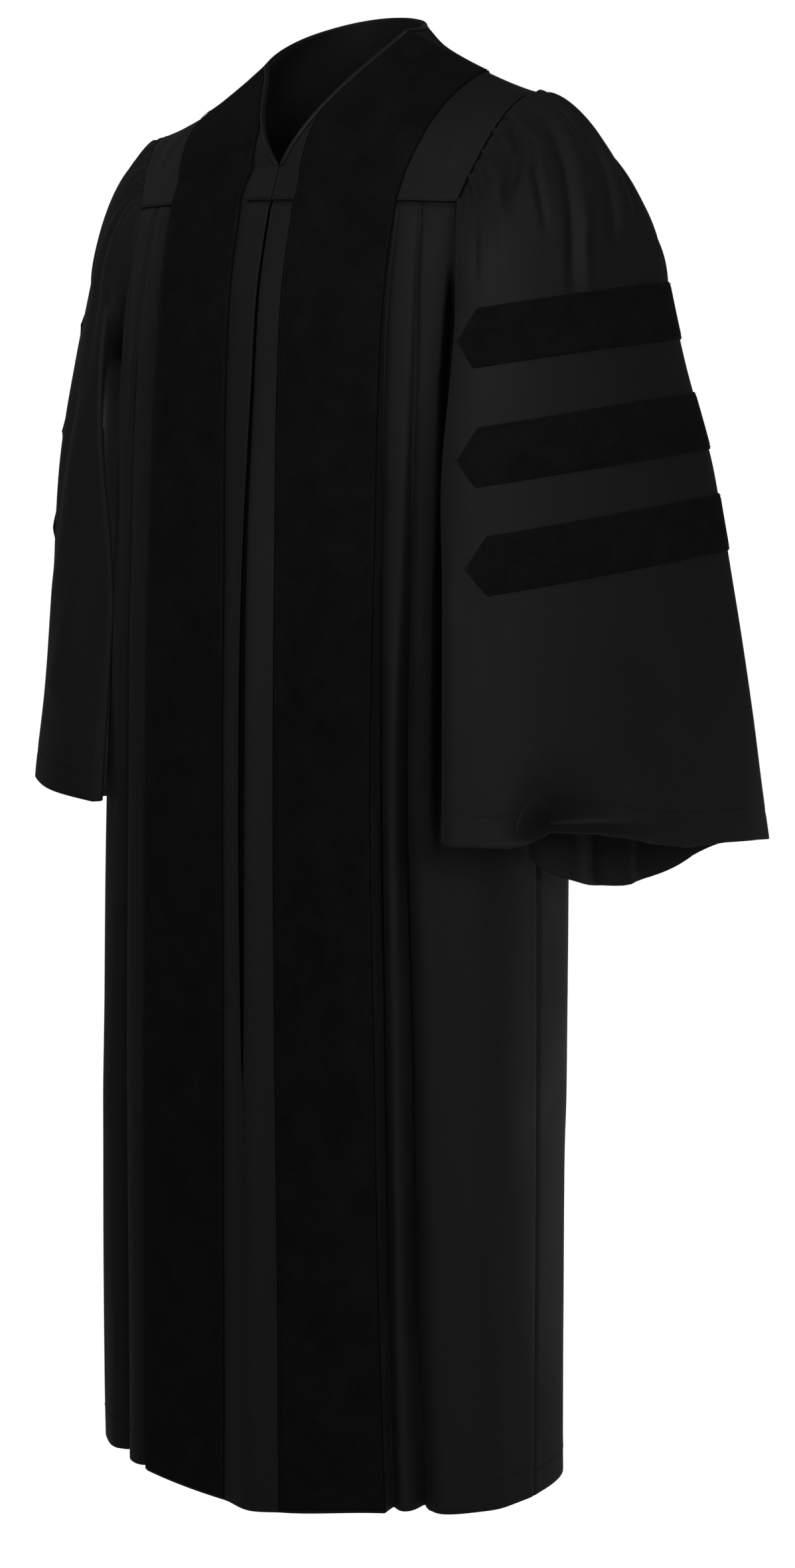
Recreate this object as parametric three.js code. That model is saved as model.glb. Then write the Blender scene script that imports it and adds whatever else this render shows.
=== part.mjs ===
// Doctoral graduation gown in its worn form, hollow and open at the neck, cuffs and hem.
// Millimetres, +Z up. The front faces -Y and the wearer's left is +X.
// The origin lies midway between the two high shoulder points, where the wearer carries the gown.
import * as THREE from 'three';

// Driving dimensions
const clothWall = 1.6;
const velvetWall = 1.8;
const bindingWall = 1.8;
const tapeWall = 1.2;
const seamGap = 0.3;
const barGap = 0.5;
const bindingGap = 0.6;
const armholeGap = 0.5;
const hemLevel = -1374;
const hemRise = { left: 18, right: 2, full: 150 };
const underarmLevel = -300;

const neck = { halfWidth: 79, backDepth: 88, backLevel: 28, frontDepth: 87, frontLevel: -114 };
const shoulder = { x: 210, y: 21, fall: 1.2 };
// The gown sits higher on the wearer's left: levels of the side of the neck and of the shoulder tip,
// how soon the neck edge climbs towards centre back, and how flat the sleeve head is.
const leftShoulder = { neckLevel: 8, tipLevel: -51, climb: 1.5, headFlatness: 1.12 };
const rightShoulder = { neckLevel: -20, tipLevel: -78, climb: 0.76, headFlatness: 1.25 };
const yoke = { frontLevel: -145, frontDrop: 4, frontHalf: 180, backLevel: -157, backHalf: 186, lean: 0.25 };
const closure = { yokeGap: 1, zipGap: 4.5, closesFrom: -700, closedAt: -1080, tapeHalf: 16, tapeEnd: -1100 };
const bindingWidth = 4;
const band = { fromNeck: 4.6, leavesNeck: 0.45, shoulderShare: 0.6, backShare: 0.43,
  yokeInner: 30, hemInner: 36, yokeOuter: 129, hemOuter: 144 };
const bars = { centres: [-260, -361, -454], halfHeight: 25.5, pointColumns: 2 };
const leftBars = { starts: [0, 1, 2], end: 27 };
const rightBars = { starts: [8, 8, 8], end: 30 };
// The inner half of each cuff hangs lower: how far, at which turn it is lowest, how sharply it rises
// from there towards the front and the back, and how far its drop leans to the back.
const cuffLevel = -713;
const leftCuff = { drop: 56, lowest: -0.906 * Math.PI, forwardPower: 7, backPower: 3.5, share: 1, lean: 0 };
const rightCuff = { drop: 40, lowest: -Math.PI, forwardPower: 1, backPower: 1, share: 0.6, lean: 0.5 };
const cap = { steps: 5, columns: 28, topHeight: 125, sideHeight: 84, underHeight: 40 };
const underarmColumns = 14;
const gatherDepth = 4.2;
const rightArm = { backwards: 45, innerShare: 0.5, from: -60, reached: -170 };
// The front end of the right sleeve is tucked in against the front of the body below the shoulder.
const rightTuck = { inwards: 32, backwards: 24, from: -240, reached: -560,
  turn: 0.555 * Math.PI, outerPower: 6, innerPower: 14 };

// Body sections below the yoke seam: half width on either side, front and back depth, squareness,
// and how far the closure stands forward of the bands.
const bodySections = [
  { z: -145, left: 220, right: 220, front: 97, back: 115, square: 2.4, ridge: 3 },
  { z: -220, left: 221, right: 222, front: 114, back: 125, square: 2.5, ridge: 5 },
  { z: -320, left: 222, right: 225, front: 123, back: 133, square: 2.7, ridge: 7 },
  { z: -460, left: 223, right: 229, front: 128, back: 143, square: 2.8, ridge: 15 },
  { z: -680, left: 227, right: 244, front: 136, back: 158, square: 2.6, ridge: 15 },
  { z: -900, left: 229, right: 256, front: 138, back: 166, square: 2.4, ridge: 14 },
  { z: -1374, left: 229, right: 265, front: 141, back: 176, square: 2.25, ridge: 8 },
];

// Sleeve sections: middle line, reach outwards on either side and inwards from it, turn of the front end
// towards the body, front and back ends, and the rise of a ring across the arm and from front to back.
const sleeveSections = [
  { z: -150, middle: 240, leftOuter: 54, rightOuter: 41, inner: 25, turn: 24,
    front: -98, back: 100, across: 0.16, along: 0.05 },
  { z: -220, middle: 250, leftOuter: 55, rightOuter: 52, inner: 28, turn: 31,
    front: -113, back: 103, across: 0.16, along: 0.05 },
  { z: -290, middle: 261, leftOuter: 56, rightOuter: 58, inner: 31, turn: 38,
    front: -128, back: 106, across: 0.16, along: 0.05 },
  { z: -380, middle: 276, leftOuter: 57, rightOuter: 58, inner: 40, turn: 48,
    front: -147, back: 116, across: 0.16, along: 0.05 },
  { z: -500, middle: 289, leftOuter: 57, rightOuter: 58, inner: 42, turn: 54,
    front: -157, back: 130, across: 0.15, along: 0.05 },
  { z: -730, middle: 306, leftOuter: 62, rightOuter: 63, inner: 48, turn: 60,
    front: -173, back: 160, across: 0, along: -0.085 },
];
const sleeveSquare = 2.2;

// Soft pleats below the yoke. They fan out over a field that starts at the band edge or at centre back
// and reaches part of the way to the side, less far at the yoke than at the hem.
// Each pleat: place in its field, depth, half width.
const frontField = { share: 0.5, top: 0.35, hem: 0.92 };
const frontPleats = [
  { at: 0.08, depth: 11, halfWidth: 7 },
  { at: 0.36, depth: 24, halfWidth: 15 },
];
const backField = { share: 0.7, top: 0.6, hem: 0.95 };
const backPleats = [
  { at: 0.14, depth: 18, halfWidth: 15 },
  { at: 0.36, depth: 20, halfWidth: 16 },
  { at: 0.58, depth: 15, halfWidth: 16 },
];

const finish = {
  cloth: { color: 0x17171a, roughness: 0.82, metalness: 0 },
  velvet: { color: 0x0b0b0d, roughness: 0.95, metalness: 0 },
  binding: { color: 0x1d1d20, roughness: 0.7, metalness: 0 },
  tape: { color: 0x0d0d0f, roughness: 0.8, metalness: 0 },
};

const point = (x, y, z) => new THREE.Vector3(x, y, z);
const lerp = THREE.MathUtils.lerp;
const clamp01 = (t) => THREE.MathUtils.clamp(t, 0, 1);
const smooth = (t) => THREE.MathUtils.smoothstep(t, 0, 1);
const quarterSine = (t) => Math.sin((t * Math.PI) / 2);
const quarterRise = (t) => 1 - Math.cos((t * Math.PI) / 2);
const signedPower = (value, power) => Math.sign(value) * Math.abs(value) ** power;

// The row of a section table at level z, run straight between the rows above and below it.
function sectionAt(table, z) {
  let i = 0;
  while (i < table.length - 2 && z < table[i + 1].z) i += 1;
  const [upper, lower] = [table[i], table[i + 1]];
  const t = clamp01((upper.z - z) / (upper.z - lower.z));
  return Object.fromEntries(Object.keys(upper).map((key) => [key, lerp(upper[key], lower[key], t)]));
}

// Plan of the body at one section: the turn runs from 0 at the centre line to a quarter at the side.
const halfWidth = (section, side) => (side > 0 ? section.left : section.right);
const planX = (section, side, turn) => halfWidth(section, side) * Math.sin(turn) ** (2 / section.square);
function planTurn(section, side, x) {
  return Math.asin(Math.min(1, x / halfWidth(section, side)) ** (section.square / 2));
}
function planDepth(section, side, x) {
  const share = Math.min(1, x / halfWidth(section, side));
  return (1 - share ** section.square) ** (1 / section.square);
}

function frontPoint(side, x, z) {
  const section = sectionAt(bodySections, z);
  const ridge = section.ridge * (1 - smooth(x / band.hemInner));
  return point(side * x, -section.front * planDepth(section, side, x) - ridge, z);
}

function backPoint(side, x, z) {
  const section = sectionAt(bodySections, z);
  return point(side * x, section.back * planDepth(section, side, x), z);
}

// Level outward direction of the plan at x, leaned up a little where the yoke joins.
function planNormal(surface, side, x, z, lean) {
  const along = surface(side, x + 1, z).sub(surface(side, Math.max(0, x - 1), z));
  const facing = surface === frontPoint ? side : -side;
  return point(facing * along.y, -facing * along.x, 0).normalize().setZ(lean).normalize();
}

// Direction that yoke, panel and sleeve share along the armhole seam.
function armholeNormal(p) {
  const radial = point(0, p.y - 5, p.z + 180).normalize();
  return radial.setX(Math.sign(p.x) * (0.15 + 0.6 * Math.max(0, -radial.z))).normalize();
}

// Direction at the side edge of a panel: the armhole's above the underarm, straight out below it.
const edgeNormal = (p, row) => (row < scoopRows ? armholeNormal(p) : point(Math.sign(p.x), 0, 0));

const closureHalf = (z) => {
  const closed = smooth((closure.closesFrom - z) / (closure.closesFrom - closure.closedAt));
  return lerp(closure.zipGap, seamGap, closed) / 2;
};

const frontSeamLevel = (x) => yoke.frontLevel - yoke.frontDrop * (x / yoke.frontHalf) ** 2;
const frontTop = frontSeamLevel(yoke.frontHalf);

// Turn at which a panel ends: cut back by the armhole above the underarm, a quarter turn below it.
function panelEnd(side, z, topLevel, topHalf) {
  const start = planTurn(sectionAt(bodySections, topLevel), side, topHalf);
  const scoop = Math.sqrt(1 - clamp01((topLevel - z) / (topLevel - underarmLevel)) ** 2);
  return lerp(Math.PI / 2, start, scoop);
}

function panelLevels(topLevel) {
  const scoop = [0, 0.3, 0.55, 0.8, 1].map((t) => lerp(topLevel, underarmLevel, quarterSine(t)));
  return [...scoop, -390, -500, -640, -800, -980, -1170, hemLevel];
}
const scoopRows = 5;

// Turn of a column: fanned with the pleats inside their field, spread up to the panel's edge beyond it.
function columnTurnAt(field, across, start, end, z) {
  const below = clamp01((yoke.frontLevel - z) / (yoke.frontLevel - hemLevel));
  const reach = lerp(start, Math.PI / 2, lerp(field.top, field.hem, below ** 1.2));
  const lastPleated = lerp(start, reach, field.share);
  const fanned = lerp(start, reach, across);
  const beyond = lerp(lastPleated, end, (across - field.share) / (1 - field.share));
  return { turn: across < field.share ? fanned : beyond, fieldTurn: reach - start };
}

function pleatInset(pleats, across, arc, z, topLevel) {
  const below = topLevel - z;
  const grow = smooth(below / 240) * lerp(0.45, 1, clamp01(below / (topLevel - hemLevel)));
  const bells = pleats.map((p) => p.depth * Math.exp(-((((across - p.at) * arc) / p.halfWidth) ** 2)));
  return grow * bells.reduce((sum, bell) => sum + bell, 0);
}

// Columns across a pleated stretch: both shoulders and the bottom of each pleat, and one between.
function pleatColumns(pleats, half) {
  const columns = pleats.flatMap((p, i) => {
    const next = i + 1 < pleats.length ? pleats[i + 1].at - half : 0.85;
    return [p.at - half, p.at, p.at + half, (p.at + half + next) / 2];
  });
  return [...columns, 0.85, 1];
}

// The hem hangs higher at the sides than at the centre, more so on the wearer's left.
function riseAt(side, x, z) {
  const below = clamp01((underarmLevel - z) / (underarmLevel - hemLevel));
  return (side > 0 ? hemRise.left : hemRise.right) * smooth(x / hemRise.full) * below;
}

function bandEdges(z) {
  const t = (yoke.frontLevel - z) / (yoke.frontLevel - hemLevel);
  return [lerp(band.yokeInner, band.hemInner, t), lerp(band.yokeOuter, band.hemOuter, t)];
}
const bandShares = [0, 1 / 3, 2 / 3, 1];
const bandColumns = [2, 3, 4, 5];
const bindingColumns = [0, 1];

// A panel is a set of rows of points with the direction its wall is thickened in at each point.
function sheet(rows, centre, closed = false) {
  const last = rows[0].length - 1;
  const column = (c) => (closed ? (c + rows[0].length) % rows[0].length : THREE.MathUtils.clamp(c, 0, last));
  const normals = rows.map((row, r) => row.map((p, c) => {
    const down = rows[Math.min(r + 1, rows.length - 1)][c].clone().sub(rows[Math.max(r - 1, 0)][c]);
    const over = row[column(c + 1)].clone().sub(row[column(c - 1)]);
    const normal = down.cross(over).normalize();
    return normal.dot(p.clone().sub(centre(p))) < 0 ? normal.negate() : normal;
  }));
  return { rows, normals };
}
const bodyCentre = (p) => point(0, 20, Math.min(p.z, -170));

// Front panel, rows from the yoke seam down: closure edge, tape edge, band, pleats, side.
function frontPanel(side) {
  const rows = panelLevels(frontTop).map((level, row) => {
    const section = sectionAt(bodySections, level);
    const [inner, outer] = bandEdges(level);
    const start = planTurn(section, side, outer);
    const end = panelEnd(side, level, frontTop, yoke.frontHalf);
    const place = (x) => {
      const p = frontPoint(side, x, row === 0 ? frontSeamLevel(x) - seamGap : level);
      return p.setZ(p.z + riseAt(side, x, level));
    };
    const bandPlaces = bandShares.map((t) => lerp(inner, outer, t));
    const flat = [closureHalf(level), closure.tapeHalf, ...bandPlaces].map(place);
    const pleated = pleatColumns(frontPleats, 0.07).map((across) => {
      const { turn, fieldTurn } = columnTurnAt(frontField, across, start, end, level);
      const x = planX(section, side, turn);
      const arc = fieldTurn * halfWidth(section, side) * 0.8;
      const inset = pleatInset(frontPleats, across, arc, level, frontTop);
      const sideSeam = across === 1 && row >= scoopRows - 1 ? seamGap / 2 : 0;
      return place(x).addScaledVector(planNormal(frontPoint, side, x, level, 0), -inset)
        .add(point(0, -sideSeam, 0));
    });
    return [...flat, ...pleated];
  });
  const panel = sheet(rows, bodyCentre);
  panel.normals[0] = rows[0].map((p) => planNormal(frontPoint, side, Math.abs(p.x), p.z, yoke.lean));
  rows.forEach((row, r) => {
    panel.normals[r].splice(-1, 1, edgeNormal(row.at(-1), r));
    if (r > 0) panel.normals[r].splice(0, 1, point(0, -1, 0));
  });
  return panel;
}

// Back panel, rows from the yoke seam down, columns from the wearer's right over centre back to the left.
function backPanel() {
  const half = pleatColumns(backPleats, 0.05);
  const columns = [...half.map((t) => -t).reverse(), 0, ...half];
  const rows = panelLevels(yoke.backLevel).map((level, row) => columns.map((column) => {
    const side = column < 0 ? -1 : 1;
    const across = Math.abs(column);
    const section = sectionAt(bodySections, level);
    const end = panelEnd(side, level, yoke.backLevel, yoke.backHalf);
    const { turn, fieldTurn } = columnTurnAt(backField, across, 0, end, level);
    const x = planX(section, side, turn);
    const inset = pleatInset(backPleats, across, fieldTurn * halfWidth(section, side), level, yoke.backLevel);
    const sideSeam = across === 1 && row >= scoopRows - 1 ? seamGap / 2 : 0;
    const lift = row === 0 ? -seamGap : riseAt(side, x, level);
    return backPoint(side, x, level).addScaledVector(planNormal(backPoint, side, x, level, 0), -inset)
      .add(point(0, sideSeam, lift));
  }));
  const panel = sheet(rows, bodyCentre);
  const sideOf = (p) => (p.x < 0 ? -1 : 1);
  const seamNormal = (p) => planNormal(backPoint, sideOf(p), Math.abs(p.x), p.z, yoke.lean);
  panel.normals[0] = rows[0].map(seamNormal);
  rows.forEach((row, r) => {
    panel.normals[r].splice(-1, 1, edgeNormal(row.at(-1), r));
    panel.normals[r].splice(0, 1, edgeNormal(row[0], r));
  });
  return panel;
}

const frontNeckShare = 0.86;
const backCorner = 0.5;

// Surface spanned between four edges: left and right run with v, top and bottom run with u.
function span(left, right, top, bottom, u, v) {
  const sides = left(v).lerp(right(v), u);
  const ends = top(u).lerp(bottom(u), v);
  const corners = left(0).lerp(right(0), u).lerp(left(1).lerp(right(1), u), v);
  return sides.add(ends).sub(corners);
}

// Yoke surfaces of one side, given for the wearer's left: u runs from the neck to the outer edge,
// v from the shoulder seam to the front yoke seam or to centre back.
function yokeSurfaces(side) {
  const { neckLevel, tipLevel, climb } = side > 0 ? leftShoulder : rightShoulder;
  const shoulderLine = (t) => point(lerp(neck.halfWidth, shoulder.x, t), shoulder.y * t,
    lerp(neckLevel, tipLevel, 1 - (1 - t) ** shoulder.fall));
  const neckFront = (t) => point(lerp(neck.halfWidth, closure.yokeGap / 2, t),
    -neck.frontDepth * quarterSine(t) ** 1.25, lerp(neckLevel, neck.frontLevel, t ** 1.1));
  const neckBack = (t) => point(neck.halfWidth * quarterSine(1 - t), neck.backDepth * quarterSine(t),
    lerp(neckLevel, neck.backLevel, quarterSine(t) ** climb));
  const frontSeam = (t) => {
    const x = lerp(closure.yokeGap / 2, yoke.frontHalf, t);
    return frontPoint(1, x, frontSeamLevel(x));
  };
  const backSeam = (t) => backPoint(1, yoke.backHalf * (1 - t), yoke.backLevel);
  const armhole = (corner, t) => point(lerp(shoulder.x, corner.x, t ** 1.3),
    lerp(shoulder.y, corner.y, t ** 0.85), lerp(tipLevel, corner.z, quarterRise(t)));
  const frontArmhole = (t) => armhole(frontSeam(1), t);
  const centreBack = (t) => neckBack(1).lerp(backSeam(1), t).add(point(0, 10 * Math.sin(t * Math.PI), 0));
  const frontNeck = (t) => (t < frontNeckShare ? neckFront(t / frontNeckShare)
    : neckFront(1).lerp(frontSeam(0), (t - frontNeckShare) / (1 - frontNeckShare)));
  const backOuter = (t) => (t < backCorner ? armhole(backSeam(0), t / backCorner)
    : backSeam((t - backCorner) / (1 - backCorner)));
  return {
    shoulderLine,
    front: (u, v) => span(frontNeck, frontArmhole, shoulderLine, frontSeam, u, v),
    back: (u, v) => span(neckBack, backOuter, shoulderLine, centreBack, u, v),
  };
}

// Direction across the shoulder seam that both yokes share.
function shoulderNormal(shoulderLine, u, side) {
  const along = shoulderLine(Math.min(1, u + 0.01)).sub(shoulderLine(Math.max(0, u - 0.01)));
  return point(-side * along.z, 0, along.x).normalize();
}

// Shares across a yoke from the neck edge: binding, band and the rest up to the outer edge.
function yokeShares(width, inner, outer) {
  return [0, bindingWidth / width, ...bandShares.map((t) => lerp(inner, outer, t)), lerp(outer, 1, 0.5), 1];
}

const frontYokeRows = [0, 0.14, 0.28, 0.42, 0.57, 0.72, frontNeckShare, 1];

// Front yoke, rows from the shoulder seam down to the yoke seam.
function frontYoke(side) {
  const surfaces = yokeSurfaces(side);
  const shares = frontYokeRows.map((v) => {
    const width = surfaces.front(0, v).distanceTo(surfaces.front(1, v));
    const leaves = smooth((v - band.leavesNeck) / (1 - band.leavesNeck));
    const inner = lerp(band.fromNeck / width, band.yokeInner / yoke.frontHalf, leaves);
    return yokeShares(width, inner, lerp(band.shoulderShare, band.yokeOuter / yoke.frontHalf, v));
  });
  const rows = shares.map((row, r) => row.map((u) => {
    const p = surfaces.front(u, frontYokeRows[r]).add(point(0, r === 0 ? -seamGap / 2 : 0, 0));
    return p.setX(side * p.x);
  }));
  const yokeSheet = sheet(rows, bodyCentre);
  yokeSheet.normals[0] = shares[0].map((u) => shoulderNormal(surfaces.shoulderLine, u, side));
  const seamNormal = (p) => planNormal(frontPoint, side, Math.abs(p.x), p.z, yoke.lean);
  yokeSheet.normals.splice(-1, 1, rows.at(-1).map(seamNormal));
  rows.forEach((row, r) => yokeSheet.normals[r].splice(-1, 1, armholeNormal(row.at(-1))));
  return yokeSheet;
}

const backYokeTurns = [0, 0.125, 0.25, 0.375, backCorner, 0.64, 0.78, 0.9, 1];

// Back yoke, rows from the left shoulder seam over centre back to the right, columns from the neck outwards.
function backYoke() {
  const stations = [...backYokeTurns.map((v) => ({ v, side: 1 })),
    ...backYokeTurns.slice(0, -1).reverse().map((v) => ({ v, side: -1 }))];
  const surfaces = { 1: yokeSurfaces(1), [-1]: yokeSurfaces(-1) };
  const shares = stations.map(({ v, side }) => {
    const width = surfaces[side].back(0, v).distanceTo(surfaces[side].back(1, v));
    return yokeShares(width, band.fromNeck / width, lerp(band.shoulderShare, band.backShare, v));
  });
  const rows = stations.map(({ v, side }, r) => shares[r].map((u) => {
    const p = surfaces[side].back(u, v).add(point(0, v === 0 ? seamGap / 2 : 0, 0));
    return p.setX(side * p.x);
  }));
  const yokeSheet = sheet(rows, bodyCentre);
  stations.forEach(({ v, side }, r) => {
    const edge = rows[r].at(-1);
    const { shoulderLine } = surfaces[side];
    if (v === 0) yokeSheet.normals[r] = shares[r].map((u) => shoulderNormal(shoulderLine, u, side));
    const seam = planNormal(backPoint, side, Math.abs(edge.x), edge.z, yoke.lean);
    yokeSheet.normals[r].splice(-1, 1, v <= backCorner ? armholeNormal(edge) : seam);
  });
  return yokeSheet;
}

// Points spread evenly along a run of points, both ends included.
function spread(run, count) {
  const lengths = run.map((p, i) => (i === 0 ? 0 : p.distanceTo(run[i - 1])));
  const marks = lengths.map((sum => (length) => (sum += length))(0));
  return Array.from({ length: count + 1 }, (_, k) => {
    const mark = (marks.at(-1) * k) / count;
    const i = Math.max(1, marks.findIndex((m) => m >= mark - 1e-6));
    return run[i - 1].clone().lerp(run[i], (mark - marks[i - 1]) / lengths[i]);
  });
}

// Armhole loop of one side: forward over the shoulder to the back corner, then down round the underarm.
function armholeLoop(side, front, back, frontYokeSheet, backYokeSheet) {
  const edge = (rows, last) => rows.map((row) => (last ? row.at(-1) : row[0]));
  const frontEdge = edge(frontYokeSheet.rows, true);
  const yokeRows = side > 0 ? backYokeSheet.rows : [...backYokeSheet.rows].reverse();
  const backEdge = edge(yokeRows.slice(0, backYokeTurns.indexOf(backCorner) + 1), true);
  const frontScoop = edge(front.rows.slice(0, scoopRows), true);
  const backScoop = edge(back.rows.slice(0, scoopRows), side > 0);
  const over = spread([...frontEdge.reverse(), ...backEdge], cap.columns);
  const underarm = [backEdge.at(-1), ...backScoop, ...frontScoop.reverse(), frontEdge[0]];
  const under = spread(underarm, underarmColumns);
  return [...over.slice(0, -1), ...under.slice(0, -1)];
}

const columnTurn = (c) => (c <= cap.columns ? Math.PI * (0.5 - c / cap.columns)
  : Math.PI * (-0.5 - (c - cap.columns) / underarmColumns));

function frontTuck(turn, z) {
  const near = Math.cos(turn - rightTuck.turn);
  const insideEdge = near > 0 && Math.sin(turn - rightTuck.turn) > 0;
  const share = Math.max(0, near) ** (insideEdge ? rightTuck.innerPower : rightTuck.outerPower);
  return share * smooth((rightTuck.from - z) / (rightTuck.from - rightTuck.reached));
}

function sleevePoint(side, turn, z) {
  const s = sectionAt(sleeveSections, z);
  const swing = side > 0 ? 0 : smooth((rightArm.from - z) / (rightArm.from - rightArm.reached));
  const round = 2 / sleeveSquare;
  const over = signedPower(Math.cos(turn), round);
  const fore = signedPower(Math.sin(turn), round);
  const outer = side > 0 ? s.leftOuter : s.rightOuter;
  const reach = over > 0 ? outer : s.inner * lerp(1, rightArm.innerShare, swing);
  const x = s.middle + reach * over - s.turn * fore;
  const y = lerp(s.back, s.front, (1 + fore) / 2);
  const rise = s.across * (x - s.middle) + s.along * (y - (s.front + s.back) / 2);
  const tuck = side > 0 ? 0 : frontTuck(turn, z);
  const position = point(side * (x - rightTuck.inwards * tuck),
    y + rightArm.backwards * swing + rightTuck.backwards * tuck, z);
  return { position, rise };
}

const barLevels = bars.centres.flatMap((z) => [z + bars.halfHeight, z, z - bars.halfHeight]);
const sleeveLevels = [...barLevels, -545, -620, -675, cuffLevel];
const firstBarRow = cap.steps + 1;

// Sleeve column: out of the armhole over a rounded cap, then down through the rings to the cuff.
function sleeveColumn(side, start, turn) {
  const outer = Math.max(0, Math.cos(turn));
  const inner = Math.max(0, -Math.cos(turn));
  const height = cap.sideHeight + (cap.topHeight - cap.sideHeight) * outer
    - (cap.sideHeight - cap.underHeight) * inner;
  const foot = sleevePoint(side, turn, start.z - height).position;
  const hang = side > 0 ? leftCuff : rightCuff;
  const flatness = (side > 0 ? leftShoulder : rightShoulder).headFlatness;
  const points = Array.from({ length: cap.steps + 1 }, (_, k) => {
    const outwards = quarterSine(k / cap.steps) ** flatness;
    const fall = 1 - quarterSine(1 - k / cap.steps) ** flatness;
    const p = start.clone().lerp(foot, outwards);
    return p.setZ(lerp(start.z, foot.z, fall));
  });
  const power = turn < hang.lowest ? hang.forwardPower : hang.backPower;
  const fullDrop = hang.drop * Math.max(0, Math.cos(turn - hang.lowest)) ** power
    * (hang.share - hang.lean * Math.sin(turn));
  for (const level of sleeveLevels) {
    const drop = level === cuffLevel ? fullDrop : 0;
    const z = Math.min(level + sleevePoint(side, turn, level).rise - drop, points.at(-1).z - 6);
    points.push(sleevePoint(side, turn, z).position);
  }
  return points;
}

// Gathers of the sleeve head: ridges and hollows in turn, deepest below the seam, gone at the first bar.
function gather(sleeve) {
  const strength = [0, 0.7, 1, 1, 0.8, 0.45];
  return sleeve.rows.map((row, r) => row.map((p, c) => {
    const uneven = 0.72 + 0.28 * Math.cos(c * 2.3);
    const side = c % 2 === 0 ? 1 : -1;
    const depth = c > 0 && c < cap.columns ? gatherDepth * uneven * side * (strength[r] ?? 0) : 0;
    return p.clone().addScaledVector(sleeve.normals[r][c], depth);
  }));
}

function sleeve(side, loop) {
  const columns = loop.map((start, c) => sleeveColumn(side, start, columnTurn(c)));
  const rows = columns[0].map((_, r) => columns.map((column) => column[r]));
  const middleOf = (row) => row.reduce((sum, p) => sum.add(p), point(0, 0, 0)).divideScalar(row.length);
  const middles = rows.map(middleOf);
  const centre = (p) => middles.reduce((best, m) => (m.distanceTo(p) < best.distanceTo(p) ? m : best));
  const gathered = gather(sheet(rows, centre, true));
  const result = sheet(gathered, centre, true);
  result.normals[0] = rows[0].map(armholeNormal);
  rows[0].forEach((p, c) => {
    const normal = result.normals[0][c];
    const away = point(side, 0, 0).addScaledVector(normal, -side * normal.x).normalize();
    gathered[0][c].addScaledVector(away, armholeGap);
  });
  return result;
}

// Velvet bar on a sleeve: the sleeve's own points between two ring edges, drawn to a point at each end.
function sleeveBar(side, sleeveSheet, index) {
  const { starts, end } = side > 0 ? leftBars : rightBars;
  const start = starts[index];
  const rows = [0, 1, 2].map((k) => firstBarRow + 3 * index + k);
  const taper = (c) => Math.min(1, 0.05 + 0.95 * Math.min(c - start, end - c) / bars.pointColumns);
  const columns = Array.from({ length: end - start + 1 }, (_, k) => start + k);
  const pick = (grid) => rows.map((r) => columns.map((c) => {
    const middle = grid[rows[1]][c].clone();
    return middle.lerp(grid[r][c], taper(c));
  }));
  return { rows: pick(sleeveSheet.rows), normals: pick(sleeveSheet.normals) };
}

const pickColumns = (grid, columns) => grid.map((row) => columns.map((c) => row[c].clone()));

// Velvet band from centre back round the neck, over the yoke and down the front to the hem.
function velvetBand(side, front, frontYokeSheet, backYokeSheet) {
  const half = backYokeTurns.length;
  const fromBack = (grid) => (side > 0 ? grid.slice(0, half).reverse() : grid.slice(half - 1));
  const follow = (key) => [...pickColumns(fromBack(backYokeSheet[key]).slice(0, -1), bandColumns),
    ...pickColumns(frontYokeSheet[key], bandColumns), ...pickColumns(front[key].slice(1), bandColumns)];
  const rows = follow('rows');
  rows[0].forEach((p) => p.setX(side * seamGap / 2));
  return { rows, normals: follow('normals') };
}

// Narrow binding along the whole neck edge, from one end of the front opening to the other.
function neckBinding(left, right, backYokeSheet) {
  const end = frontYokeRows.indexOf(frontNeckShare) + 1;
  const follow = (key) => [...pickColumns(left[key].slice(1, end), bindingColumns).reverse(),
    ...pickColumns(backYokeSheet[key], bindingColumns),
    ...pickColumns(right[key].slice(1, end), bindingColumns)];
  return { rows: follow('rows'), normals: follow('normals') };
}

// Half of the zip behind the front opening: its tape follows the inner points of one front panel.
function zipTape(side, front) {
  const end = front.rows.findIndex((row) => row[0].z < closure.tapeEnd);
  const meeting = (edge) => edge.clone().setX(side * seamGap / 2);
  const rows = front.rows.slice(0, end).map(([edge, next]) => [meeting(edge), edge, next]);
  const normals = front.normals.slice(0, end).map(([edge, next]) => [edge, edge, next]);
  return { rows, normals };
}

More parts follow.
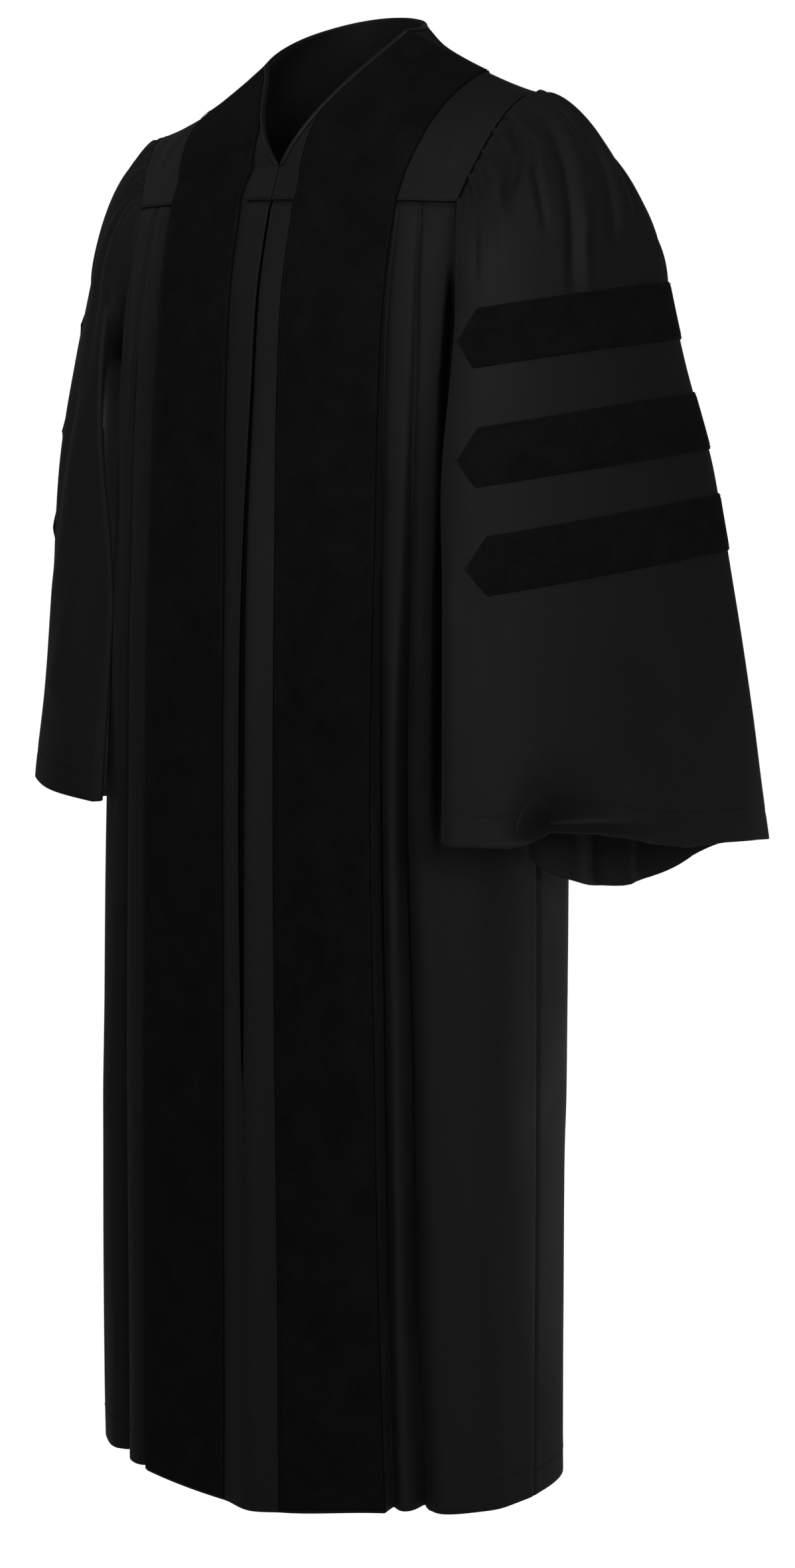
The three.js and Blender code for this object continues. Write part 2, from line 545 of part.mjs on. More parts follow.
// Closed wall between two distances along a sheet's directions.
function wall(name, { rows, normals }, from, to, material, closed = false) {
  const [height, width] = [rows.length, rows[0].length];
  const positions = [to, from].flatMap((distance) => rows.flatMap((row, r) => row.flatMap((p, c) =>
    p.clone().addScaledVector(normals[r][c], distance).toArray())));
  const outer = (r, c) => r * width + (c % width);
  const inner = (r, c) => height * width + outer(r, c);
  const faces = [];
  const quad = (a, b, c, d) => faces.push(a, b, c, a, c, d);
  const spanCount = closed ? width : width - 1;
  for (let r = 0; r < height - 1; r += 1) {
    for (let c = 0; c < spanCount; c += 1) {
      quad(outer(r, c), outer(r + 1, c), outer(r + 1, c + 1), outer(r, c + 1));
      quad(inner(r, c), inner(r, c + 1), inner(r + 1, c + 1), inner(r + 1, c));
    }
  }
  for (let c = 0; c < spanCount; c += 1) {
    quad(outer(0, c), outer(0, c + 1), inner(0, c + 1), inner(0, c));
    quad(outer(height - 1, c + 1), outer(height - 1, c), inner(height - 1, c), inner(height - 1, c + 1));
  }
  for (let r = 0; !closed && r < height - 1; r += 1) {
    quad(outer(r + 1, 0), outer(r, 0), inner(r, 0), inner(r + 1, 0));
    quad(outer(r, width - 1), outer(r + 1, width - 1), inner(r + 1, width - 1), inner(r, width - 1));
  }
  const [r, c] = [Math.floor(height / 2), Math.floor(width / 2)];
  const turned = rows[r][c].clone().sub(rows[r - 1][c]).cross(rows[r][c].clone().sub(rows[r][c - 1]));
  if (turned.dot(normals[r][c]) < 0) faces.reverse();
  const geometry = new THREE.BufferGeometry();
  geometry.setAttribute('position', new THREE.Float32BufferAttribute(positions, 3));
  geometry.setIndex(faces);
  geometry.computeVertexNormals();
  const mesh = new THREE.Mesh(geometry, new THREE.MeshStandardMaterial(finish[material]));
  mesh.name = name;
  return mesh;
}

const gown = new THREE.Group();
const back = backPanel();
const backYokeSheet = backYoke();
const sides = { left: 1, right: -1 };
const frontYokes = {};
const laidOn = (thickness, gap = seamGap) => [gap, gap + thickness];

gown.add(wall('back', back, -clothWall, 0, 'cloth'));
gown.add(wall('yoke_back', backYokeSheet, -clothWall, 0, 'cloth'));
for (const [name, side] of Object.entries(sides)) {
  const front = frontPanel(side);
  const frontYokeSheet = frontYoke(side);
  const loop = armholeLoop(side, front, back, frontYokeSheet, backYokeSheet);
  const sleeveSheet = sleeve(side, loop);
  const bandSheet = velvetBand(side, front, frontYokeSheet, backYokeSheet);
  gown.add(wall(`front_${name}`, front, -clothWall, 0, 'cloth'));
  gown.add(wall(`yoke_front_${name}`, frontYokeSheet, -clothWall, 0, 'cloth'));
  gown.add(wall(`sleeve_${name}`, sleeveSheet, -clothWall, 0, 'cloth', true));
  gown.add(wall(`velvet_band_${name}`, bandSheet, ...laidOn(velvetWall), 'velvet'));
  bars.centres.forEach((_, i) => {
    const barSheet = sleeveBar(side, sleeveSheet, i);
    gown.add(wall(`sleeve_bar_${name}_${i + 1}`, barSheet, ...laidOn(velvetWall, barGap), 'velvet'));
  });
  const tapeFace = -clothWall - seamGap;
  gown.add(wall(`zip_tape_${name}`, zipTape(side, front), tapeFace - tapeWall, tapeFace, 'tape'));
  frontYokes[name] = frontYokeSheet;
}
const bindingSheet = neckBinding(frontYokes.left, frontYokes.right, backYokeSheet);
gown.add(wall('neck_binding', bindingSheet, ...laidOn(bindingWall, bindingGap), 'binding'));

export default gown;
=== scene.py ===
import bpy
import math
import numpy as np
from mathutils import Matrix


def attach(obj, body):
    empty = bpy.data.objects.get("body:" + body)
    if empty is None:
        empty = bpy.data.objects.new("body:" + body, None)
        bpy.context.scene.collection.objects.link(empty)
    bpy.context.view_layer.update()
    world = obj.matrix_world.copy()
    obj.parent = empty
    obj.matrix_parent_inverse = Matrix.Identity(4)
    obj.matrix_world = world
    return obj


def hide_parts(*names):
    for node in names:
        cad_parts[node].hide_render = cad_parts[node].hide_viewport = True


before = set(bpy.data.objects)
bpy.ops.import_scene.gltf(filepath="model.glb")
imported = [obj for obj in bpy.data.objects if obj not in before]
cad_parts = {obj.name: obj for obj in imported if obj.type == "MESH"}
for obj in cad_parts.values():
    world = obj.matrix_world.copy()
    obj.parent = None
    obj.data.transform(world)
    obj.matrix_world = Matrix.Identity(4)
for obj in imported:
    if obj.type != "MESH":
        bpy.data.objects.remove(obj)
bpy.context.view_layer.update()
print("frame loaded:", len(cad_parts), "nodes")

toMetres = 0.001  # the forms below are worked out in millimetres
seamGap = 0.3
clothWall = 1.3
rimRound = 0.8  # how far a cut edge rounds out, as a share of half the wall


def lerp(a, b, t):
    return a + (b - a) * t


def smooth(t):
    t = np.clip(t, 0, 1)
    return t * t * (3 - 2 * t)


def quarterSine(t):
    return np.sin(np.asarray(t, float) * np.pi / 2)


def signedPower(value, power):
    return np.sign(value) * np.abs(value) ** power


def xyz(x, y, z):
    return np.stack(np.broadcast_arrays(np.asarray(x, float), y, z), -1)


def unit(v):
    return v / np.maximum(np.linalg.norm(v, axis=-1, keepdims=True), 1e-9)


def tableAt(table, key, z):  # smooth run of one column of a form table at level z
    xs = -np.array(table["z"], float)
    ys = np.array(table[key], float)
    slope = np.gradient(ys, xs)
    q = np.clip(-np.asarray(z, float), xs[0], xs[-1])
    i = np.clip(np.searchsorted(xs, q) - 1, 0, len(xs) - 2)
    h = xs[i + 1] - xs[i]
    t = (q - xs[i]) / h
    return (ys[i] * (1 + 2 * t) * (1 - t) ** 2 + slope[i] * h * t * (1 - t) ** 2
            + ys[i + 1] * t * t * (3 - 2 * t) + slope[i + 1] * h * t * t * (t - 1))


bodyForm = {
    "z": [-145, -220, -320, -460, -680, -900, -1374],
    "left": [220, 221, 222, 223, 227, 229, 229],
    "right": [220, 222, 225, 229, 244, 256, 265],
    "front": [97, 114, 123, 128, 136, 138, 141],
    "back": [115, 125, 133, 143, 158, 166, 176],
    "square": [2.4, 2.5, 2.7, 2.8, 2.6, 2.4, 2.25],
    "ridge": [3, 5, 7, 15, 15, 14, 8],
    "hem": -1374, "underarm": -300, "riseLeft": 18, "riseRight": 2, "riseFull": 150,
}
bandForm = {
    "fromNeck": 4.6, "leavesNeck": 0.45, "shoulderShare": 0.6, "backShare": 0.43,
    "hemInner": 36, "columns": 18,
}
frontLines = {  # how far from centre front each line lies, by level: band edges, gap beside it, pleat
    "z": [-145, -264, -387, -563, -674, -820, -935, -1045, -1158, -1288, -1374],
    "leftInner": [25.5, 25, 26, 27.5, 28.5, 29.2, 30, 31, 32, 32.5, 33],
    "leftOuter": [128, 127, 127.5, 126.5, 126, 127, 129, 130.5, 132.5, 136, 138.5],
    "leftGap": [130, 130, 131, 131.5, 132.5, 133.5, 134.7, 136, 137.5, 140.5, 143.5],
    "leftPleat": [151, 158, 159, 157.5, 156.5, 159, 161.5, 162.5, 164, 169, 172],
    "rightInner": [36.5, 36, 35.7, 34, 33, 32.5, 33, 33.5, 33.5, 34, 35],
    "rightOuter": [125, 125, 128, 130.5, 131, 133, 135, 137, 138.5, 141, 143],
    "rightGap": [127.5, 128, 131, 134, 135, 138, 140.5, 142.5, 145, 147.5, 149.5],
    "rightPleat": [152, 162, 167, 174, 177, 184, 191, 194.5, 196, 197.5, 199],
    "gapDepth": [1.5, 6, 11, 17, 22, 24, 24, 24, 22, 18, 16],
    "pleatDepth": [3, 6, 10, 18, 24, 28, 29, 29, 28, 26, 26],
    "pleatNear": [2.2, 2.6, 3.2, 4.5, 5.5, 6.5, 8, 9, 10, 11, 11],
    "pleatFar": [1.6, 1.8, 2.2, 3, 3.6, 4.5, 5.2, 5.6, 6, 6.4, 6.4],
}
closureForm = {
    "z": [-145, -369, -632, -816, -927, -972, -1000, -1374],
    "gap": [3.6, 6, 9.4, 7.6, 4.4, 1.2, 0.6, 0.3],
    "yokeGap": 1.8, "tapeHalf": 16, "tapeEnd": -978,
}
yokeForm = {
    "frontLevel": -145, "frontDrop": 4, "frontHalf": 180, "backLevel": -157, "backHalf": 186,
    "neckHalf": 79, "neckBackDepth": 88, "neckBackLevel": 28, "neckFrontDepth": 87, "neckFrontLevel": -114,
    "shoulderX": 210, "shoulderY": 21, "shoulderFall": 1.2, "frontNeckShare": 0.86, "backCorner": 0.5,
    "neckCurve": 1.25, "neckFall": 1.1, "armholeIn": 1.3, "armholeFore": 0.85, "backBulge": 10,
    "left": {"neckLevel": 8, "tipLevel": -51, "climb": 1.5},
    "right": {"neckLevel": -20, "tipLevel": -78, "climb": 0.76},
    "bindingWidth": 4.0,
}


def sideName(side):
    return "left" if side > 0 else "right"


def planX(side, turn, z):
    return tableAt(bodyForm, sideName(side), z) * np.sin(turn) ** (2 / tableAt(bodyForm, "square", z))


def planTurn(side, x, z):
    share = np.minimum(1, x / tableAt(bodyForm, sideName(side), z))
    return np.arcsin(share ** (tableAt(bodyForm, "square", z) / 2))


def planDepth(side, x, z):
    square = tableAt(bodyForm, "square", z)
    share = np.clip(x / tableAt(bodyForm, sideName(side), z), 0, 1)
    return np.maximum(0, 1 - share ** square) ** (1 / square)


def frontPoint(side, x, z):
    ridge = tableAt(bodyForm, "ridge", z) * (1 - smooth(x / bandForm["hemInner"]))
    return xyz(side * x, -tableAt(bodyForm, "front", z) * planDepth(side, x, z) - ridge, z)


def backPoint(side, x, z):
    return xyz(side * x, tableAt(bodyForm, "back", z) * planDepth(side, x, z), z)


def planNormal(place, side, x, z):
    along = place(side, x + 1, z) - place(side, np.maximum(0, x - 1), z)
    facing = side if place is frontPoint else -side
    return unit(xyz(facing * along[..., 1], -facing * along[..., 0], 0))


def closureHalf(z):
    return tableAt(closureForm, "gap", z) / 2


def frontSeamLevel(x):
    return yokeForm["frontLevel"] - yokeForm["frontDrop"] * (x / yokeForm["frontHalf"]) ** 2


def panelEnd(side, z, topLevel, topHalf):  # cut back by the armhole above the underarm
    start = planTurn(side, topHalf, topLevel)
    fall = np.clip((topLevel - z) / (topLevel - bodyForm["underarm"]), 0, 1)
    return lerp(np.pi / 2, start, np.sqrt(1 - fall ** 2))


def panelLevels(topLevel, scoopRows, lowerRows):
    scoop = lerp(topLevel, bodyForm["underarm"], quarterSine(np.linspace(0, 1, scoopRows)))
    lower = np.linspace(bodyForm["underarm"], bodyForm["hem"], lowerRows + 1)[1:]
    return np.concatenate([scoop, lower])


def hemRise(side, x, z):
    below = np.clip((bodyForm["underarm"] - z) / (bodyForm["underarm"] - bodyForm["hem"]), 0, 1)
    full = bodyForm["riseLeft"] if side > 0 else bodyForm["riseRight"]
    return full * smooth(x / bodyForm["riseFull"]) * below


# a crease fades at both ends and stands up a little beside its valley
foldLook = {"fadeIn": 0.22, "fadeOut": 0.3, "shoulder": 0.38, "shoulderWidth": 2.3}


def foldField(a, z, folds):  # listed creases: (path, depth, width), a negative depth makes a ridge
    total = np.zeros(np.broadcast(a, z).shape)
    for path, depth, width in folds:
        pts = np.array(path, float)
        steps = np.linalg.norm(np.diff(pts, axis=0), axis=1)
        marks = np.concatenate([[0], np.cumsum(steps)]) / steps.sum()
        best = np.full(total.shape, 1e9)
        along = np.zeros(total.shape)
        for (p, q, m0, m1) in zip(pts[:-1], pts[1:], marks[:-1], marks[1:]):
            d = q - p
            t = np.clip(((a - p[0]) * d[0] + (z - p[1]) * d[1]) / (d @ d), 0, 1)
            dist = np.hypot(a - p[0] - t * d[0], z - p[1] - t * d[1])
            along = np.where(dist < best, lerp(m0, m1, t), along)
            best = np.minimum(best, dist)
        fade = smooth(along / foldLook["fadeIn"]) * smooth((1 - along) / foldLook["fadeOut"])
        shoulder = np.exp(-(best / (foldLook["shoulderWidth"] * width)) ** 2)
        total -= depth * fade * (np.exp(-(best / width) ** 2) - foldLook["shoulder"] * shoulder)
    return total


def gridNormals(grid, outward, closed=False):
    if closed:
        over = np.roll(grid, -1, 1) - np.roll(grid, 1, 1)
    else:
        over = np.gradient(grid, axis=1)
    normal = unit(np.cross(np.gradient(grid, axis=0), over))
    return normal * np.where((normal * outward).sum(-1, keepdims=True) < 0, -1, 1)


def evenNormals(normal, closed=False, rounds=2):  # calms the directions before a wall is thickened
    for _ in range(rounds):
        padded = np.pad(normal, ((1, 1), (1, 1), (0, 0)), mode="edge")
        if closed:
            padded[1:-1, 0], padded[1:-1, -1] = normal[:, -1], normal[:, 0]
        above, below = padded[:-2, 1:-1], padded[2:, 1:-1]
        before, after = padded[1:-1, :-2], padded[1:-1, 2:]
        normal = unit(above + below + before + after + 2 * normal)
    return normal


bodyCore = {"y": 20, "top": -170}  # a line down the middle of the body tells outwards from inwards


def bodyNormals(grid, even=True):
    normal = gridNormals(grid, grid - xyz(0, bodyCore["y"], np.minimum(grid[..., 2], bodyCore["top"])))
    return evenNormals(normal) if even else normal


def sleeveNormals(grid, rounds=2):
    return evenNormals(gridNormals(grid, grid - grid.mean(1, keepdims=True), True), True, rounds)


def arcAcross(grid):  # distance along each row from its first point
    steps = np.linalg.norm(np.diff(grid, axis=1), axis=-1)
    return np.concatenate([np.zeros((len(grid), 1)), np.cumsum(steps, 1)], 1)


def arcDown(grid):
    steps = np.linalg.norm(np.diff(grid, axis=0), axis=-1)
    return np.concatenate([np.zeros((1, grid.shape[1])), np.cumsum(steps, 0)], 0)


def addObject(name, data):
    made = bpy.data.objects.new(name, data)
    bpy.context.scene.collection.objects.link(made)
    return made


def makeShell(name, grid, normal, outerBy, innerBy, closed=False, uv=None):  # a closed wall on a grid of points
    rows, cols = grid.shape[:2]
    outer, inner = (grid + normal * np.broadcast_to(by, (rows, cols))[..., None] for by in (outerBy, innerBy))
    count = rows * cols
    index = np.arange(count).reshape(rows, cols)
    if closed:
        index = np.concatenate([index, index[:, :1]], 1)
    a, b, c, d = index[:-1, :-1], index[1:, :-1], index[1:, 1:], index[:-1, 1:]
    quads = np.stack([a, b, c, d], -1).reshape(-1, 4)
    face = np.cross(outer[1, 0] - outer[0, 0], outer[1, 1] - outer[0, 0])
    if face @ normal[0, 0] < 0:
        quads = quads[:, ::-1]
    if closed:
        rings = [index[0, :-1], index[-1, :-1]]
    else:
        rings = [np.concatenate([index[0, :-1], index[:-1, -1], index[-1, :0:-1], index[:0:-1, 0]])]
    flat = [outer.reshape(-1, 3), inner.reshape(-1, 3)]
    faces = [quads, quads[:, ::-1] + count]
    inwards = np.zeros_like(grid)  # from each border point into the piece
    inwards[0] += grid[1] - grid[0]
    inwards[-1] += grid[-2] - grid[-1]
    if not closed:
        inwards[:, 0] += grid[:, 1] - grid[:, 0]
        inwards[:, -1] += grid[:, -2] - grid[:, -1]
    inwards = unit(inwards).reshape(-1, 3)
    start = 2 * count
    for ring in rings:  # a rounded rim joins the two walls
        mid = (flat[0][ring] + flat[1][ring]) / 2
        half = np.linalg.norm(flat[0][ring] - flat[1][ring], axis=-1, keepdims=True) / 2
        flat.append(mid - inwards[ring] * half * rimRound)
        rim = start + np.arange(len(ring))
        nextRing, nextRim = np.roll(ring, -1), np.roll(rim, -1)
        upper = np.stack([ring, nextRing, nextRim, rim], -1)
        lower = np.stack([rim, nextRim, nextRing + count, ring + count], -1)
        if np.any((quads == ring[0]) & (np.roll(quads, -1, 1) == nextRing[0])):  # the wall runs this way too
            upper, lower = upper[:, ::-1], lower[:, ::-1]
        faces += [upper, lower]
        start += len(ring)
    faces = np.concatenate(faces)
    mesh = bpy.data.meshes.new(name)
    mesh.from_pydata((np.concatenate(flat) * toMetres).tolist(), [], faces.tolist())
    mesh.polygons.foreach_set("use_smooth", np.ones(len(faces), bool))
    if uv is None:
        uv = np.stack([arcAcross(grid), arcDown(grid)], -1)
    flatUv = uv.reshape(-1, 2) * toMetres
    perPoint = np.concatenate([flatUv, flatUv] + [flatUv[ring] for ring in rings])
    corners = np.zeros(len(mesh.loops), int)
    mesh.loops.foreach_get("vertex_index", corners)
    layer = mesh.uv_layers.new(name="weave")
    layer.data.foreach_set("uv", perPoint[corners].ravel())
    mesh.update()
    return addObject(name, mesh)


# fronts: closure edge, tape edge, band, gap and pleat beside it, side
frontLook = {
    "scoopRows": 30, "lowerRows": 140, "closureColumns": 4, "tapeColumns": 5, "sideLap": 0.8,
    "pleatColumns": [("Outer", "Gap", 7), ("Gap", "Pleat", 16), ("Pleat", "side", 46)],
    "valley": {"least": 2.0, "bandSide": 0.55, "farShare": 0.35, "farLeast": 3.0, "start": 2.5},
    "seam": {"blend": 70, "dip": 2.6, "height": 4, "start": 3},  # the yoke laps over the panel's top edge
    "fall": {"from": 180, "ledge": 4, "until": 194, "fade": 22, "depth": 24,
             "top": -200, "topFade": 70, "low": -745, "lowFade": 60},
    "ripple": {"height": 0.9, "across": 23, "down": 170, "shift": 0.6, "grows": 300},
    "calm": {"from": 6, "pleat": 20, "side": 18},  # no folds this near to the pleat and to the side
    "foldsLeft": [
        ([(206, -120), (204, -240), (196, -400)], 1.6, 9),
        ([(236, -300), (230, -420), (216, -640)], 2.6, 16),
        ([(262, -520), (262, -800), (252, -1180)], 2.6, 22),
        ([(284, -980), (288, -1200), (292, -1480)], -3.0, 18),
    ],
    "foldsRight": [
        ([(198, -120), (196, -300), (190, -470)], 2.0, 9),
        ([(236, -310), (228, -450), (216, -700)], 2.8, 15),
        ([(256, -560), (262, -820), (266, -1100)], 3.0, 20),
        ([(300, -900), (308, -1180), (314, -1480)], -3.4, 20),
    ],
}
frontTop = float(frontSeamLevel(yokeForm["frontHalf"]))
valleyShape = {"steep": 1.3, "round": 0.3}


def frontLine(side, name, z):
    return tableAt(frontLines, sideName(side) + name, z)


def creased(t):  # a narrow valley with steep sides
    return np.exp(-valleyShape["steep"] * t ** 2 / (np.abs(t) + valleyShape["round"]))


def besideBand(side, x, z):  # how far the cloth falls in beside the band and at the knife pleat
    valley = frontLook["valley"]
    outer, gap, pleat = (frontLine(side, name, z) for name in ("Outer", "Gap", "Pleat"))
    near, far = tableAt(frontLines, "pleatNear", z), tableAt(frontLines, "pleatFar", z)
    bandSide = np.maximum(valley["least"], valley["bandSide"] * (gap - outer))
    farSide = valley["farShare"] * near + valley["farLeast"]
    beside = np.where(x < gap, (gap - x) / bandSide, (x - gap) / farSide)
    across = np.where(x < pleat, (pleat - x) / near, (x - pleat) / far)
    depth = (tableAt(frontLines, "gapDepth", z) * creased(beside)
             + tableAt(frontLines, "pleatDepth", z) * creased(across))
    return depth * smooth((x - outer) / valley["start"])


def underSleeve(x, z):  # the left panel falls in where the sleeve's front edge hangs over it
    fall = frontLook["fall"]
    across = smooth((x - fall["from"]) / fall["ledge"]) * (1 - smooth((x - fall["until"]) / fall["fade"]))
    down = smooth((fall["top"] - z) / fall["topFade"]), smooth((z - fall["low"]) / fall["lowFade"])
    return fall["depth"] * across * down[0] * down[1]


def frontGrid(side):
    look = frontLook
    seam, calm, wave = look["seam"], look["calm"], look["ripple"]
    level = panelLevels(frontTop, look["scoopRows"], look["lowerRows"])[:, None]
    inner, outer = frontLine(side, "Inner", level), frontLine(side, "Outer", level)
    seamBlend = 1 - np.clip((frontTop - level) / seam["blend"], 0, 1)

    def place(x):
        z = level + (frontSeamLevel(x) - seamGap - frontTop) * seamBlend
        p = frontPoint(side, x, z)
        p[..., 2] += hemRise(side, x, level)
        return p

    def columns(begin, finish, count):
        return lerp(begin, finish, np.linspace(0, 1, count + 1)[:-1])

    first = columns(closureHalf(level), closureForm["tapeHalf"], look["closureColumns"])
    second = columns(closureForm["tapeHalf"], inner, look["tapeColumns"])
    band = lerp(inner, outer, np.linspace(0, 1, bandForm["columns"]))
    flat = place(np.concatenate([first, second, band], 1))
    strip = first.shape[1] + second.shape[1] - 1
    seamDip = seam["dip"] * np.exp(-((frontTop - level) / seam["height"]) ** 2)
    flat[:, :strip, 1] += seamDip
    end = panelEnd(side, level, frontTop, yokeForm["frontHalf"])
    turns = []
    for begin, finish, count in look["pleatColumns"]:
        near = planTurn(side, frontLine(side, begin, level), level)
        far = end if finish == "side" else planTurn(side, frontLine(side, finish, level), level)
        turns.append(lerp(near, far, (np.arange(count) + 1) / count))
    x = planX(side, np.concatenate(turns, 1), level)
    inset = besideBand(side, x, level) + seamDip * smooth((x - outer) / seam["start"])
    if side > 0:
        inset = inset + underSleeve(x, level)
    inset[look["scoopRows"]:, -1] += look["sideLap"]
    pleated = place(x) - planNormal(frontPoint, side, x, level) * inset[..., None]
    pleated[look["scoopRows"] - 1:, -1, 1] -= seamGap / 2
    grid = np.concatenate([flat, pleated], 1)
    a = arcAcross(grid)
    folds = foldField(a, grid[..., 2], look["foldsLeft"] if side > 0 else look["foldsRight"])
    pleatColumn = flat.shape[1] + sum(count for _, _, count in look["pleatColumns"][:2]) - 1
    fromPleat = a - a[:, pleatColumn:pleatColumn + 1]
    free = smooth((fromPleat - calm["from"]) / calm["pleat"]) * smooth((a[:, -1:] - a) / calm["side"])
    ripple = wave["height"] * np.sin(a / wave["across"] + side) * np.sin(level / wave["down"] + wave["shift"] * side)
    ripple = ripple * smooth((frontTop - level) / wave["grows"])
    return grid + bodyNormals(grid, False) * ((folds + ripple) * free)[..., None]


# back: pleated from centre back to both sides
backLook = {
    "scoopRows": 30, "lowerRows": 130, "halfColumns": 74,
    "field": {"share": 0.7, "top": 0.6, "hem": 0.95, "fan": 1.2},  # how far round the pleats reach
    "pleats": [(0.14, 18, 15, 0.3), (0.36, 20, 16, 0.3), (0.58, 15, 16, 0.3)],  # place, depth, half width, lean
    "opens": {"over": 240, "top": 0.45},
    "ripple": {"height": 1.1, "across": 26, "down": 190, "grows": 300},
    "calm": {"side": 18, "top": 30, "from": 1},
    "folds": [
        ([(-196, -175), (-180, -300), (-150, -470)], 3.0, 12), ([(188, -175), (170, -290), (148, -430)], 3.0, 12),
        ([(-40, -500), (-52, -800), (-60, -1150)], 2.6, 18), ([(20, -700), (26, -980), (40, -1420)], 3.6, 20),
        ([(-230, -420), (-226, -700), (-214, -1000)], 3.4, 20), ([(222, -430), (230, -760), (226, -1040)], 3.2, 18),
        ([(-120, -860), (-128, -1120), (-140, -1420)], 3.2, 18), ([(250, -980), (262, -1200), (270, -1420)], 3.4, 18),
        ([(110, -620), (118, -900), (124, -1200)], -3.0, 16), ([(-280, -900), (-292, -1160), (-300, -1420)], -3.2, 20),
    ],
}


def backTurns(across, end, z):  # fanned with the pleats, spread to the side beyond them
    field = backLook["field"]
    below = np.clip((yokeForm["frontLevel"] - z) / (yokeForm["frontLevel"] - bodyForm["hem"]), 0, 1)
    reach = np.pi / 2 * lerp(field["top"], field["hem"], below ** field["fan"])
    beyond = lerp(reach * field["share"], end, (across - field["share"]) / (1 - field["share"]))
    return np.where(across < field["share"], reach * across, beyond), reach


def backInset(across, arc, z):  # each pleat falls steeply on one side, gently on the other
    opens = backLook["opens"]
    below = yokeForm["backLevel"] - z
    share = np.clip(below / (yokeForm["backLevel"] - bodyForm["hem"]), 0, 1)
    grow = smooth(below / opens["over"]) * lerp(opens["top"], 1, share)
    total = 0
    for at, depth, halfWidth, lean in backLook["pleats"]:
        away = (across - at) * arc / halfWidth
        away = away * np.where(away < 0, 1 + lean, 1 / (1 + lean))
        total = total + depth * np.exp(-away ** 2)
    return grow * total


def backGrid():
    look = backLook
    calm, wave = look["calm"], look["ripple"]
    top = yokeForm["backLevel"]
    level = panelLevels(top, look["scoopRows"], look["lowerRows"])[:, None]
    across = np.linspace(0, 1, look["halfColumns"] + 1)
    halves = []
    for side in (-1, 1):
        turn, fieldTurn = backTurns(across, panelEnd(side, level, top, yokeForm["backHalf"]), level)
        x = planX(side, turn, level)
        inset = backInset(across, fieldTurn * tableAt(bodyForm, sideName(side), level), level)
        p = backPoint(side, x, level) - planNormal(backPoint, side, x, level) * inset[..., None]
        p[..., 2] += np.where(level == top, -seamGap, hemRise(side, x, level))
        p[look["scoopRows"] - 1:, -1, 1] += seamGap / 2
        halves.append(p)
    grid = np.concatenate([halves[0][:, :0:-1], halves[1]], 1)
    z = grid[..., 2]
    a = arcAcross(grid)
    a = a - a[:, look["halfColumns"]:look["halfColumns"] + 1]
    free = smooth((a - a[:, :1]) / calm["side"]) * smooth((a[:, -1:] - a) / calm["side"])
    free = free * smooth((top - z - calm["from"]) / calm["top"])
    ripple = wave["height"] * np.sin(a / wave["across"]) * np.sin(z / wave["down"])
    ripple = ripple * smooth((top - level) / wave["grows"])
    return grid + bodyNormals(grid, False) * ((foldField(a, z, look["folds"]) + ripple) * free)[..., None]


# yokes: spanned between the shoulder, neck, armhole and yoke seams
def yokeEdges(side):
    f = yokeForm
    hang = f[sideName(side)]
    begin, finish = np.asarray(0.0), np.asarray(1.0)

    def shoulderLine(t):
        fall = 1 - (1 - t) ** f["shoulderFall"]
        return xyz(lerp(f["neckHalf"], f["shoulderX"], t), f["shoulderY"] * t,
                   lerp(hang["neckLevel"], hang["tipLevel"], fall))

    def neckFront(t):
        return xyz(lerp(f["neckHalf"], closureForm["yokeGap"] / 2, t),
                   -f["neckFrontDepth"] * quarterSine(t) ** f["neckCurve"],
                   lerp(hang["neckLevel"], f["neckFrontLevel"], t ** f["neckFall"]))

    def neckBack(t):
        return xyz(f["neckHalf"] * quarterSine(1 - t), f["neckBackDepth"] * quarterSine(t),
                   lerp(hang["neckLevel"], f["neckBackLevel"], quarterSine(t) ** hang["climb"]))

    def frontSeam(t):
        x = lerp(closureForm["yokeGap"] / 2, f["frontHalf"], t)
        return frontPoint(1, x, frontSeamLevel(x))

    def backSeam(t):
        return backPoint(1, f["backHalf"] * (1 - t), f["backLevel"])

    def armhole(corner, t):
        return xyz(lerp(f["shoulderX"], corner[0], t ** f["armholeIn"]),
                   lerp(f["shoulderY"], corner[1], t ** f["armholeFore"]),
                   lerp(hang["tipLevel"], corner[2], 1 - quarterSine(1 - t)))

    def centreBack(t):
        p = lerp(neckBack(finish), backSeam(finish), t[..., None])
        p[..., 1] += f["backBulge"] * np.sin(t * np.pi)
        return p

    def frontNeck(t):
        share = f["frontNeckShare"]
        below = np.clip((t - share) / (1 - share), 0, 1)[..., None]
        low = lerp(neckFront(finish), frontSeam(begin), below)
        return np.where((t < share)[..., None], neckFront(np.minimum(1, t / share)), low)

    def frontArmhole(t):
        return armhole(frontSeam(finish), t)

    def backOuter(t):
        c = f["backCorner"]
        upper, lower = np.minimum(1, t / c), np.clip((t - c) / (1 - c), 0, 1)
        return np.where((t < c)[..., None], armhole(backSeam(begin), upper), backSeam(lower))

    return shoulderLine, frontNeck, frontArmhole, frontSeam, neckBack, backOuter, centreBack


def spanSurface(left, right, top, bottom, u, v):
    u, v = np.broadcast_arrays(np.asarray(u, float), np.asarray(v, float))
    s, w = u[..., None], v[..., None]
    zero, one = np.zeros(1), np.ones(1)
    corners = lerp(lerp(left(zero), right(zero), s), lerp(left(one), right(one), s), w)
    return lerp(left(v), right(v), s) + lerp(top(u), bottom(u), w) - corners


yokeLook = {
    "rows": 52, "bindingColumns": 3, "gapColumns": 2, "outerColumns": 18, "calmTop": 0.12, "calmSeam": 0.1,
    "foldsFront": [([(150, -60), (158, -100), (164, -150)], 1.2, 8), ([(186, -70), (178, -110), (168, -140)], 1.4, 7)],
}
bandStart = yokeLook["bindingColumns"] + yokeLook["gapColumns"] - 1


